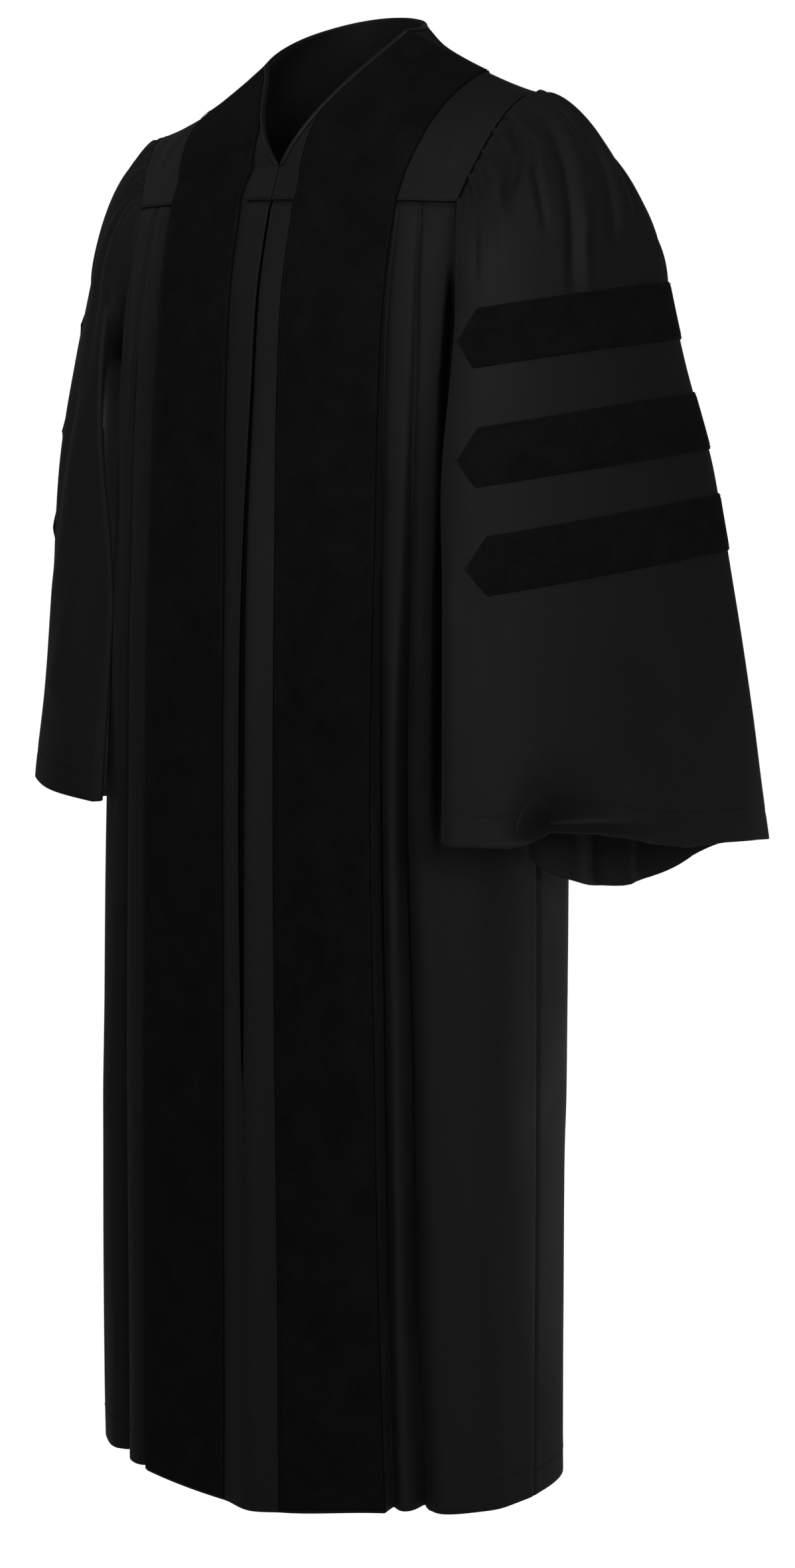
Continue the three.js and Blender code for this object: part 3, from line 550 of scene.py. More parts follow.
def yokeShares(corner):  # rows down a yoke, one of them at its corner
    return np.unique(np.append(np.linspace(0, 1, yokeLook["rows"]), corner))


frontYokeShares = yokeShares(yokeForm["frontNeckShare"])
backYokeShares = yokeShares(yokeForm["backCorner"])


def yokeColumns(width, inner, outer):
    binding = yokeForm["bindingWidth"] / width
    parts = [np.linspace(0, 1, yokeLook["bindingColumns"])[None] * binding,
             lerp(binding, inner, np.linspace(0, 1, yokeLook["gapColumns"] + 1)[1:-1][None]),
             lerp(inner, outer, np.linspace(0, 1, bandForm["columns"])[None]),
             lerp(outer, 1, np.linspace(0, 1, yokeLook["outerColumns"] + 1)[1:][None])]
    return np.concatenate(parts, 1)


def frontYokeGrid(side):
    shoulderLine, frontNeck, frontArmhole, frontSeam = yokeEdges(side)[:4]
    v = frontYokeShares[:, None]
    surface = lambda u: spanSurface(frontNeck, frontArmhole, shoulderLine, frontSeam, u, v)
    width = np.linalg.norm(surface(0) - surface(1), axis=-1)
    leaves = smooth((v - bandForm["leavesNeck"]) / (1 - bandForm["leavesNeck"]))
    seamInner, seamOuter = (frontLine(side, name, frontTop) / yokeForm["frontHalf"] for name in ("Inner", "Outer"))
    inner = lerp(bandForm["fromNeck"] / width, seamInner, leaves)
    outer = lerp(bandForm["shoulderShare"], seamOuter, v)
    grid = surface(yokeColumns(width, inner, outer))
    grid[0, :, 1] -= seamGap / 2
    grid[..., 0] *= side
    folds = foldField(np.abs(grid[..., 0]), grid[..., 2], yokeLook["foldsFront"])
    free = smooth(v / yokeLook["calmTop"]) * smooth((1 - v) / yokeLook["calmSeam"])
    return grid + bodyNormals(grid, False) * (folds * free)[..., None]


def backYokeGrid():
    halves = []
    v = backYokeShares[:, None]
    for side in (1, -1):
        shoulderLine, _, _, _, neckBack, backOuter, centreBack = yokeEdges(side)
        surface = lambda u: spanSurface(neckBack, backOuter, shoulderLine, centreBack, u, v)
        width = np.linalg.norm(surface(0) - surface(1), axis=-1)
        outer = lerp(bandForm["shoulderShare"], bandForm["backShare"], v)
        grid = surface(yokeColumns(width, bandForm["fromNeck"] / width, outer))
        grid[0, :, 1] += seamGap / 2
        grid[..., 0] *= side
        halves.append(grid)
    return np.concatenate([halves[0], halves[1][-2::-1]], 0)


def backYokeHalf(grid, side):  # rows from the shoulder to centre back
    rows = len(backYokeShares)
    return grid[:rows] if side > 0 else grid[:rows - 2:-1]


# sleeves: rings under a rounded, gathered cap
sleeveForm = {
    "z": [-150, -220, -290, -380, -500, -730],
    "middle": [240, 250, 261, 276, 289, 306],
    "leftOuter": [54, 55, 56, 57, 57, 62],
    "rightOuter": [41, 52, 58, 58, 58, 63],
    "inner": [25, 28, 31, 40, 42, 48],
    "turn": [24, 31, 38, 48, 54, 60],
    "front": [-98, -113, -128, -147, -157, -173],
    "back": [100, 103, 106, 116, 130, 160],
    "across": [0.16, 0.16, 0.16, 0.16, 0.15, 0.0],
    "along": [0.05, 0.05, 0.05, 0.05, 0.05, -0.085],
    "square": 2.2, "cuff": -713,
    "leftHang": {"drop": 56, "lowest": -0.906, "forwardPower": 7, "backPower": 3.5,
                 "share": 1.0, "lean": 0.0, "flatness": 1.12},
    "rightHang": {"drop": 40, "lowest": -1.0, "forwardPower": 1, "backPower": 1,
                  "share": 0.6, "lean": 0.5, "flatness": 1.25},
    "tuck": {"inwards": 32, "backwards": 24, "from": -240, "reached": -560,
             "turn": 0.555, "outerPower": 6, "innerPower": 14},
    "topHeight": 125, "sideHeight": 84, "underHeight": 40, "armholeGap": 0.5,
    "backwards": 45, "innerShare": 0.5, "swingFrom": -60, "swingReached": -170,
}
sleeveLook = {
    "overColumns": 190, "underColumns": 62, "capRows": 44, "lowerRows": 92, "closer": 0.6, "evenRounds": 3,
    "allowance": {"width": 3.5, "sunk": 0.3},  # turned in under the armhole's edge
    "degree": 1.7,  # millimetres of cloth to a degree of turn
    # puckers and gathers under the sleeve head: how many, how deep, how far down, how uneven
    "head": {"half": 95, "fade": 12, "start": 9},
    "drift": [(0.5, 11, 1), (0.4, 5.3, 0)],
    "puckers": {"count": 27, "depth": 1.5, "length": 30, "drift": 2, "shift": 0, "uneven": (0.75, 0.35, 7, 2)},
    "gathers": {"count": 14, "depth": 2.6, "length": 78, "drift": 3, "shift": 1, "uneven": (0.7, 0.4, 13, 1)},
    "groove": {"depth": 1.8, "height": 4},  # along the armhole seam
    "cuffWave": {"under": 2.4, "over": 0.8, "count": 9, "height": 70},
    "hem": {"depth": 26, "dip": 0.35, "height": 3.5},
    # turned-up edge of the cuff: from and to which turn, how high
    "rollLeft": (2, 70, 11), "rollRight": (30, 95, 60), "roll": {"depth": 6.5, "fadeIn": 6, "fadeOut": 40},
    # rise and fall of the cuffs' edges, by turn
    "waveTurns": [-270, -235, -215, -200, -183, -165, -130, -113, -96, -70, -45, -24, -7,
                  5, 10, 22, 36, 44, 50, 56, 90],
    "waveLeft": [-6, -5, 3, 7, -4, 2, 5, -2, -9, -7, -5, -5, -8, -3, 1, 7, 8, 3, -3, -6, -6],
    "waveRight": [-15, -9, -4, 0, 0, 0, 0, 0, 0, 0, 0, 0, 0, 0, 0, 0, 0, -1, -3, -5, -15],
    # hollow above the turned-up edge of the left cuff
    "dent": {"turn": 33, "width": 31, "front": 26, "top": -616, "deepest": -692, "ledge": 13, "depth": 35},
    # long folds under the sleeve head and soft dents, as turn in degrees and level
    "foldsLeft": [
        ([(30, -72), (34, -91), (42, -114), (52, -140), (56, -165)], 7.5, 7),
        ([(30, -74), (29, -100), (34, -128), (35, -185)], 3.0, 4),
        ([(14, -68), (16, -101), (18, -138), (19, -171), (20, -250)], 6.0, 6.5),
        ([(4, -64), (-1, -93), (-4, -120), (-3, -200)], 5.0, 6.5), ([(10, -140), (13, -190), (12, -240)], -2.4, 6),
        ([(-20, -64), (-24, -110), (-22, -190)], 4.6, 8), ([(-44, -66), (-50, -130), (-52, -220)], 4.6, 9),
        ([(-68, -80), (-72, -150), (-78, -240)], 4.0, 9), ([(74, -96), (76, -150), (80, -230)], 3.2, 6),
        ([(64, -480), (63, -580), (60, -690)], 3.4, 14),
        ([(4, -420), (0, -560), (-4, -690)], 2.2, 26), ([(-30, -420), (-36, -560), (-40, -700)], 2.6, 26),
        ([(-70, -380), (-76, -520), (-84, -690)], 3.4, 22),
        ([(-128, -420), (-134, -600), (-140, -800)], 4.4, 16), ([(-215, -400), (-220, -600), (-224, -800)], 4.2, 16),
        ([(-158, -640), (-158, -740), (-158, -840)], 9.0, 7), ([(-167, -660), (-167, -750), (-167, -860)], -7.5, 6),
        ([(-178, -640), (-178, -740), (-178, -860)], 10.0, 6), ([(-187, -650), (-187, -740), (-187, -860)], -7.5, 6),
        ([(-195, -640), (-195, -740), (-195, -850)], 9.0, 7),
        ([(90, -400), (90, -560), (90, -720), (90, -900)], -5.0, 15),
        ([(-270, -400), (-270, -560), (-270, -720), (-270, -900)], -5.0, 15),
    ],
    "foldsRight": [
        ([(50, -80), (54, -150), (60, -250)], 4.4, 8), ([(26, -80), (24, -160), (30, -270)], 4.4, 9),
        ([(0, -80), (-4, -170), (-4, -320)], 4.8, 9), ([(-26, -80), (-32, -150), (-28, -240)], 4.2, 9),
        ([(72, -90), (76, -180), (80, -330)], 3.8, 9), ([(-56, -90), (-62, -160), (-66, -270)], 4.2, 10),
        ([(84, -330), (80, -500), (84, -660)], 3.2, 16), ([(70, -300), (52, -430), (40, -520)], 5.0, 12),
        ([(86, -430), (66, -560), (54, -640)], -3.4, 12), ([(60, -600), (56, -690), (58, -830)], 11.0, 30),
        ([(14, -420), (10, -560), (12, -700)], 2.8, 26), ([(-40, -430), (-46, -580), (-44, -710)], 3.0, 26),
        ([(-84, -400), (-88, -560), (-96, -690)], 3.2, 22), ([(-150, -420), (-156, -580), (-160, -730)], 3.0, 20),
    ],
}


def frontTuck(turn, z):  # the right sleeve's front end lies in against the body
    t = sleeveForm["tuck"]
    near, beyond = np.cos(turn - t["turn"] * np.pi), np.sin(turn - t["turn"] * np.pi)
    share = np.maximum(0, near) ** np.where(beyond > 0, t["innerPower"], t["outerPower"])
    return share * smooth((t["from"] - z) / (t["from"] - t["reached"]))


def sleevePoint(side, turn, z):
    f = sleeveForm
    swing = 0 if side > 0 else smooth((f["swingFrom"] - z) / (f["swingFrom"] - f["swingReached"]))
    over = signedPower(np.cos(turn), 2 / f["square"])
    fore = signedPower(np.sin(turn), 2 / f["square"])
    row = {key: tableAt(f, key, z) for key in ("middle", "inner", "turn", "front", "back", "across", "along")}
    outer = tableAt(f, sideName(side) + "Outer", z)
    reach = np.where(over > 0, outer, row["inner"] * lerp(1, f["innerShare"], swing))
    x = row["middle"] + reach * over - row["turn"] * fore
    y = lerp(row["back"], row["front"], (1 + fore) / 2)
    rise = row["across"] * (x - row["middle"]) + row["along"] * (y - (row["front"] + row["back"]) / 2)
    tuck = 0 if side > 0 else frontTuck(turn, z)
    x = x - f["tuck"]["inwards"] * tuck
    y = y + f["backwards"] * swing + f["tuck"]["backwards"] * tuck
    return xyz(side * x, y, z), rise


def spread(run, count):  # points spread evenly along a run of points
    marks = np.concatenate([[0], np.cumsum(np.linalg.norm(np.diff(run, axis=0), axis=1))])
    at = np.linspace(0, marks[-1], count + 1)
    return np.stack([np.interp(at, marks, run[:, k]) for k in range(3)], -1)


def armholeLoop(side):  # over the shoulder from the front yoke seam to the back one, then under the arm
    corner = np.argmin(np.abs(backYokeShares - yokeForm["backCorner"]))
    backEdge = backYokeHalf(backYoke, side)[:corner + 1, -1]
    yokeEdge = frontYokes[side][:, -1]
    over = spread(np.concatenate([yokeEdge[::-1], backEdge]), sleeveLook["overColumns"])
    backScoop = backPanel[:backLook["scoopRows"], -1 if side > 0 else 0]
    frontScoop = frontPanels[side][frontLook["scoopRows"] - 1::-1, -1]
    under = spread(np.concatenate([backEdge[-1:], backScoop, frontScoop, yokeEdge[-1:]]), sleeveLook["underColumns"])
    return np.concatenate([over[:-1], under[:-1]])


def sleeveTurns():
    over = 0.5 - np.arange(sleeveLook["overColumns"]) / sleeveLook["overColumns"]
    under = -0.5 - np.arange(sleeveLook["underColumns"]) / sleeveLook["underColumns"]
    return np.pi * np.concatenate([over, under])


def cuffLevel(side, turn):
    hang = sleeveForm[sideName(side) + "Hang"]
    lowest = hang["lowest"] * np.pi
    power = np.where(turn < lowest, hang["forwardPower"], hang["backPower"])
    drop = hang["drop"] * np.maximum(0, np.cos(turn - lowest)) ** power * (hang["share"] - hang["lean"] * np.sin(turn))
    waves = sleeveLook["waveLeft" if side > 0 else "waveRight"]
    wave = np.interp(np.degrees(turn), sleeveLook["waveTurns"], waves)
    return sleeveForm["cuff"] + sleevePoint(side, turn, sleeveForm["cuff"])[1] - drop + wave


def capFoot(turn, startLevel):
    f = sleeveForm
    outer, inner = np.maximum(0, np.cos(turn)), np.maximum(0, -np.cos(turn))
    height = f["sideHeight"] + (f["topHeight"] - f["sideHeight"]) * outer
    return startLevel - (height - (f["sideHeight"] - f["underHeight"]) * inner)


def bump(distance, width):
    return np.exp(-(distance / width) ** 2)


def headGathers(side, degrees, seamDistance):
    head = sleeveLook["head"]
    drift = sum(size * np.sin(degrees / span + shift * side) for size, span, shift in sleeveLook["drift"])
    total = 0
    for gather in (sleeveLook["puckers"], sleeveLook["gathers"]):
        middle, swing, span, shift = gather["uneven"]
        turns = degrees / 180 * 2 * np.pi * gather["count"]
        wave = np.sin(turns + drift * gather["drift"] + gather["shift"] * side)
        wave = wave * (middle + swing * np.sin(degrees / span + shift * side))
        total = total + gather["depth"] * wave * bump(seamDistance, gather["length"])
    return smooth((head["half"] - np.abs(degrees)) / head["fade"]) * total


def cuffDent(degrees, z):
    dent = sleeveLook["dent"]
    down = np.clip((dent["top"] - z) / (dent["top"] - dent["deepest"]), 0, 1) ** 2
    ledge = smooth((z - dent["deepest"] + dent["ledge"]) / dent["ledge"])
    width = np.where(degrees > dent["turn"], dent["front"], dent["width"])
    return dent["depth"] * down * ledge * bump((degrees - dent["turn"]) * sleeveLook["degree"], width)


def sleeveRelief(side, turn, z, seamDistance):  # gathers below the seam, then long folds, cuff and dent
    look = sleeveLook
    degrees = np.degrees(turn)
    start = smooth(seamDistance / look["head"]["start"])
    folds = [([(a * look["degree"], b) for a, b in path], depth, width)
             for path, depth, width in look["foldsLeft" if side > 0 else "foldsRight"]]
    relief = start * (headGathers(side, degrees, seamDistance) + foldField(degrees * look["degree"], z, folds))
    above = z - cuffLevel(side, turn)
    wave, hem, roll, groove = look["cuffWave"], look["hem"], look["roll"], look["groove"]
    height = np.where(np.cos(turn) < 0, wave["under"], wave["over"])
    relief = relief + height * np.sin(turn * wave["count"] + side) * bump(above, wave["height"])
    relief = relief - hem["dip"] * bump(above - hem["depth"], hem["height"])
    first, last, rollHeight = look["rollLeft" if side > 0 else "rollRight"]
    across = smooth((degrees - first) / roll["fadeIn"]) * smooth((last - degrees) / roll["fadeOut"])
    relief = relief + roll["depth"] * across * bump(above, rollHeight)
    relief = relief - groove["depth"] * bump(seamDistance, groove["height"])
    return relief - cuffDent(degrees, z) if side > 0 else relief


def sleeveGrid(side):
    f = sleeveForm
    turn = sleeveTurns()[None]
    start = armholeLoop(side)[None]
    footLevel = capFoot(turn, start[..., 2])
    foot = sleevePoint(side, turn, footLevel)[0]
    k = np.linspace(0, 1, sleeveLook["capRows"])[:, None]
    flatness = f[sideName(side) + "Hang"]["flatness"]
    cap = lerp(start, foot, (quarterSine(k) ** flatness)[..., None])
    cap[..., 2] = lerp(start[..., 2], foot[..., 2], 1 - quarterSine(1 - k) ** flatness)
    t = np.linspace(0, 1, sleeveLook["lowerRows"] + 1)[1:, None]
    t = t + sleeveLook["closer"] * t * (1 - t)  # rows lie closer towards the cuff
    lower = sleevePoint(side, turn, lerp(footLevel, cuffLevel(side, turn), t))[0]
    grid = np.concatenate([cap, lower], 0)
    normal = sleeveNormals(grid, sleeveLook["evenRounds"])
    grid = grid + normal * sleeveRelief(side, turn, grid[..., 2], arcDown(grid))[..., None]
    out = np.array([side, 0.0, 0.0])
    grid[0] += unit(out - normal[0] * (normal[0] @ out)[:, None]) * f["armholeGap"]
    allowance = sleeveLook["allowance"]
    turnedIn = grid[:1] + unit(grid[:1] - grid[1:2]) * allowance["width"] - normal[:1] * allowance["sunk"]
    return np.concatenate([turnedIn, grid])


print("forms ready")
frontPanels = {side: frontGrid(side) for side in (1, -1)}
backPanel = backGrid()
frontYokes = {side: frontYokeGrid(side) for side in (1, -1)}
backYoke = backYokeGrid()
sleeves = {side: sleeveGrid(side) for side in (1, -1)}
print("grids ready")

# finishes: woven cloth, napped velvet, satin binding, zip tape, thread and teeth
plainFinish = {
    "nap": (1, 1, 1), "ramp": (0.34, 0.70), "bump": 0.2, "depth": 0.0001, "sheen": 0.0, "sheenRough": 0.4,
    "thread": 0.0004, "patch": 90.0, "napScale": 1500.0, "napShare": 0.4, "onUv": True,
}
finishes = {
    "cloth": {"dark": (0.0105, 0.0105, 0.0112), "light": (0.0165, 0.0165, 0.0172), "patch": 7.0, "thread": 0.0011,
              "bump": 0.16, "depth": 0.0003, "rough": (0.60, 0.74), "specular": 0.30, "sheen": 0.06,
              "napScale": 420.0, "napShare": 0.35},
    "velvet": {"dark": (0.0080, 0.0080, 0.0084), "light": (0.0170, 0.0168, 0.0173), "patch": 34.0, "thread": 0.0007,
               "bump": 0.35, "depth": 0.0006, "rough": (0.86, 0.98), "specular": 0.05, "sheen": 0.04,
               "sheenRough": 0.30, "nap": (1, 1, 0.35), "napScale": 900.0, "napShare": 0.45, "ramp": (0.36, 0.68)},
    "binding": {"dark": (0.0085, 0.0085, 0.0092), "light": (0.014, 0.014, 0.0147), "patch": 40.0, "thread": 0.0006,
                "bump": 0.12, "depth": 0.0002, "rough": (0.42, 0.55), "specular": 0.34, "sheen": 0.05,
                "napScale": 700.0, "napShare": 0.2},
    "zip_tape": {"dark": (0.003, 0.003, 0.0035), "light": (0.006, 0.006, 0.0065), "patch": 60.0, "thread": 0.0009,
                 "bump": 0.3, "depth": 0.0003, "rough": (0.7, 0.82), "specular": 0.2, "sheen": 0.03,
                 "sheenRough": 0.5, "napScale": 500.0, "napShare": 0.3},
    "thread": {"dark": (0.0085, 0.0085, 0.009), "light": (0.0145, 0.0145, 0.015),
               "rough": (0.55, 0.7), "specular": 0.25, "onUv": False},
    # painted shadow: near-black thread for the stitches along the bands' edges, drawing the shadow line there
    "band_shadow_thread": {"dark": (0.0016, 0.0016, 0.0018), "light": (0.0034, 0.0034, 0.0036),
                    "rough": (0.75, 0.88), "specular": 0.1, "onUv": False},
    "teeth": {"dark": (0.004, 0.004, 0.0045), "light": (0.008, 0.008, 0.0085), "patch": 70.0, "thread": 0.002,
              "bump": 0.02, "rough": (0.35, 0.5), "specular": 0.4, "sheenRough": 0.5,
              "napScale": 800.0, "napShare": 0.1, "onUv": False},
}
finishMix = {"ribShade": 0.12, "napHeight": 1.5, "patchRange": (0.3, 0.7), "sheenTint": (0.75, 0.76, 0.8, 1)}


def addNode(tree, kind, **values):  # _name sets a property, i0 an input by number, other keys an input by name
    node = tree.nodes.new(kind)
    for key, value in values.items():
        if key[0] == "_":
            setattr(node, key[1:], value)
            continue
        socket = node.inputs[int(key[1:]) if key[1:].isdigit() else key]
        if hasattr(value, "is_output"):
            tree.links.new(value, socket)
        else:
            socket.default_value = value
    return node


def calc(tree, operation, *values):
    inputs = {"i%d" % number: value for number, value in enumerate(values)}
    return addNode(tree, "ShaderNodeMath", _operation=operation, **inputs).outputs[0]


def makeFinish(name, look):
    material = bpy.data.materials.new(name)
    material.use_nodes = True
    tree = material.node_tree
    shader = tree.nodes["Principled BSDF"].inputs
    place = addNode(tree, "ShaderNodeTexCoord").outputs["Object"]
    patches = addNode(tree, "ShaderNodeTexNoise", Vector=place, Scale=look["patch"], Detail=5.0, Roughness=0.62)
    stretched = addNode(tree, "ShaderNodeMapping", Vector=place, Scale=look["nap"]).outputs["Vector"]
    nap = addNode(tree, "ShaderNodeTexNoise", Vector=stretched, Scale=look["napScale"], Detail=3.0, Roughness=0.55)
    source = addNode(tree, "ShaderNodeUVMap", _uv_map="weave").outputs["UV"] if look["onUv"] else place
    axes = addNode(tree, "ShaderNodeSeparateXYZ", Vector=source)
    turns = math.tau / look["thread"]
    across, down = (calc(tree, "SINE", calc(tree, "MULTIPLY", axes.outputs[axis], turns)) for axis in "XY")
    weave = calc(tree, "MULTIPLY", across, down)  # over and under, thread by thread
    ribs = calc(tree, "MULTIPLY", calc(tree, "ABSOLUTE", weave), finishMix["ribShade"])
    patchShade = calc(tree, "MULTIPLY", patches.outputs[0], 1.0 - look["napShare"])
    napShade = calc(tree, "MULTIPLY", nap.outputs[0], look["napShare"])
    ramp = addNode(tree, "ShaderNodeValToRGB", Fac=calc(tree, "ADD", calc(tree, "ADD", patchShade, napShade), ribs))
    for stop, position, colour in zip(ramp.color_ramp.elements, look["ramp"], (look["dark"], look["light"])):
        stop.position = position
        stop.color = (*colour, 1)
    gloss = addNode(tree, "ShaderNodeMapRange", Value=patches.outputs[0])
    gloss.inputs["From Min"].default_value, gloss.inputs["From Max"].default_value = finishMix["patchRange"]
    gloss.inputs["To Min"].default_value, gloss.inputs["To Max"].default_value = look["rough"]
    napHeight = calc(tree, "MULTIPLY", nap.outputs[0], finishMix["napHeight"] * look["napShare"])
    relief = addNode(tree, "ShaderNodeBump", Strength=look["bump"], Distance=look["depth"],
                     Height=calc(tree, "ADD", weave, napHeight))
    tree.links.new(ramp.outputs["Color"], shader["Base Color"])
    tree.links.new(gloss.outputs[0], shader["Roughness"])
    tree.links.new(relief.outputs["Normal"], shader["Normal"])
    shader["Specular IOR Level"].default_value = look["specular"]
    shader["Sheen Weight"].default_value = look["sheen"]
    shader["Sheen Roughness"].default_value = look["sheenRough"]
    shader["Sheen Tint"].default_value = finishMix["sheenTint"]
    return material


materials = {name: makeFinish(name, {**plainFinish, **look}) for name, look in finishes.items()}
print("finishes ready")


def sew(name, node, slot, *shell):  # a cloth shell in place of its solid
    piece = makeShell(name, *shell)
    piece.data.materials.append(materials[slot])
    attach(piece, "root")
    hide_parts(node)


frontNormals, frontYokeNormals, sleevesNormals = {}, {}, {}
for side in (1, -1):
    word = sideName(side)
    frontNormals[side] = bodyNormals(frontPanels[side])
    sew("gown_front_" + word, "front_" + word, "cloth", frontPanels[side], frontNormals[side], 0, -clothWall)
    frontYokeNormals[side] = bodyNormals(frontYokes[side])
    sew("gown_yoke_front_" + word, "yoke_front_" + word, "cloth",
        frontYokes[side], frontYokeNormals[side], 0, -clothWall)
    grid = sleeves[side]
    sleevesNormals[side] = sleeveNormals(grid)
    around = np.broadcast_to(arcAcross(grid[-1:]), grid.shape[:2])  # the weave runs as wide as the cuff
    uv = np.stack([around, arcDown(grid)], -1)
    sew("gown_sleeve_" + word, "sleeve_" + word, "cloth", grid, sleevesNormals[side], 0, -clothWall, True, uv)
backNormal = bodyNormals(backPanel)
sew("gown_back", "back", "cloth", backPanel, backNormal, 0, -clothWall)
backYokeNormal = bodyNormals(backYoke)
sew("gown_yoke_back", "yoke_back", "cloth", backYoke, backYokeNormal, 0, -clothWall)
print("cloth pieces ready")


def lowEdges(count, height):  # full height inside, lower along both edges
    crown = np.ones(count)
    crown[[0, -1]] = height
    return crown


# velvet bands: from centre back over the shoulder and down each front, lying on the cloth
bandLook = {"lift": 0.35, "wall": 1.5, "edge": 0.55, "aboveHem": 3}
bandFirst = frontLook["closureColumns"] + frontLook["tapeColumns"]
bandGrids = {}
for side in (1, -1):
    word = sideName(side)
    high = slice(bandStart, bandStart + bandForm["columns"])
    low = slice(bandFirst, bandFirst + bandForm["columns"])
    grid, normal = (np.concatenate([backYokeHalf(back, side)[::-1, high], yoke[1:, high], front[1:, low]])
                    for back, yoke, front in ((backYoke, frontYokes[side], frontPanels[side]),
                                              (backYokeNormal, frontYokeNormals[side], frontNormals[side])))
    grid[0, :, 0] = side * seamGap / 2
    grid[-1, :, 2] += bandLook["aboveHem"]
    normal = evenNormals(normal)
    crown = bandLook["lift"] + bandLook["wall"] * lowEdges(bandForm["columns"], bandLook["edge"])
    bandGrids[side] = (grid, normal)
    sew("gown_band_" + word, "velvet_band_" + word, "velvet", grid, normal, crown, bandLook["lift"])

# sleeve bars: three pointed strips lying on each sleeve
barLook = {
    "centres": [-260, -361, -454], "half": 25.5, "lift": 0.45, "wall": 1.5, "edge": 0.5, "tip": 0.03,
    "columns": 190, "rows": 12,
    "left": {"starts": [90, 83.6, 77.1], "end": -83.6, "points": (13, 13)},
    "right": {"starts": [38.6, 38.6, 38.6], "end": -115.7, "points": (13, 26)},
}


def sleeveSurface(side, turn, z):  # a point of the finished sleeve below its cap
    grid, normals = sleeves[side], sleevesNormals[side]
    turns = sleeveTurns()
    column = np.interp(-turn, -turns, np.arange(len(turns)))
    low = np.clip(np.floor(column).astype(int), 0, len(turns) - 2)
    mix = (column - low)[..., None]
    out = np.zeros(np.broadcast(turn, z).shape + (3,))
    normal = np.zeros_like(out)
    rows = np.arange(len(grid))
    for index in np.ndindex(out.shape[:2]):
        c, m = low[index], mix[index]
        for k, share in ((c, 1 - m), (c + 1, m)):
            row = np.interp(-z[index], -grid[:, k, 2], rows)
            r = min(int(row), len(grid) - 2)
            out[index] += share * lerp(grid[r, k], grid[r + 1, k], row - r)
            normal[index] += share * lerp(normals[r, k], normals[r + 1, k], row - r)
    return out, unit(normal)


barGrids = {}
for side in (1, -1):
    word = sideName(side)
    look = barLook[word]
    for number, centre in enumerate(barLook["centres"]):
        begin, end = look["starts"][number], look["end"]
        degrees = lerp(begin, end, np.linspace(0, 1, barLook["columns"]))
        first, last = look["points"]
        taper = np.minimum((begin - degrees) / first, (degrees - end) / last)
        half = barLook["half"] * np.clip(taper, barLook["tip"], 1)
        turn = np.radians(np.broadcast_to(degrees, (barLook["rows"], len(degrees))))
        down = np.linspace(1, -1, barLook["rows"])[:, None]
        level = centre + sleevePoint(side, turn, np.full(turn.shape, float(centre)))[1]
        grid, normal = sleeveSurface(side, turn, level + down * half)
        crown = barLook["lift"] + barLook["wall"] * lowEdges(barLook["rows"], barLook["edge"])[:, None]
        barGrids[side, number] = (grid, normal)
        label = "%s_%d" % (word, number + 1)
        sew("gown_bar_" + label, "sleeve_bar_" + label, "velvet", grid, normal, crown, barLook["lift"])
print("velvet pieces ready")

# neck binding: a fine rounded strip along the neck edge
bindingLook = {"lift": 0.6, "rise": 1.8, "edge": 0.3, "columns": 7}
neckRows = np.flatnonzero(frontYokeShares <= yokeForm["frontNeckShare"] + 1e-9)
edges = yokeLook["bindingColumns"]
run, runNormal = (np.concatenate([yokes[1][neckRows[::-1], :edges], back[1:-1, :edges], yokes[-1][neckRows, :edges]])
                  for yokes, back in ((frontYokes, backYoke), (frontYokeNormals, backYokeNormal)))
share = np.linspace(0, 1, bindingLook["columns"])
grid = lerp(run[:, :1], run[:, -1:], share[None, :, None])
normal = evenNormals(np.repeat(runNormal[:, 1:2], len(share), 1))
roundness = lerp(bindingLook["edge"], 1, np.sqrt(1 - (2 * share - 1) ** 2))
bulge = bindingLook["lift"] + bindingLook["rise"] * roundness
sew("gown_neck_binding", "neck_binding", "binding", grid, normal, bulge, bindingLook["lift"])

# zip tapes behind the front edges
tapeLook = {"depth": 6.0, "wall": 0.9, "columns": 7, "rows": 120, "below": 1, "apart": 0.4}
for side in (1, -1):
    word = sideName(side)
    level = np.linspace(frontTop - tapeLook["below"], closureForm["tapeEnd"], tapeLook["rows"])[:, None]
    x = np.linspace(tapeLook["apart"], closureForm["tapeHalf"], tapeLook["columns"])
    grid = frontPoint(side, np.broadcast_to(x, (len(level), len(x))), level)
    back = -tapeLook["depth"] - tapeLook["wall"]
    sew("gown_zip_tape_" + word, "zip_tape_" + word, "zip_tape",
        grid, bodyNormals(grid, False), -tapeLook["depth"], back)
print("trim ready")


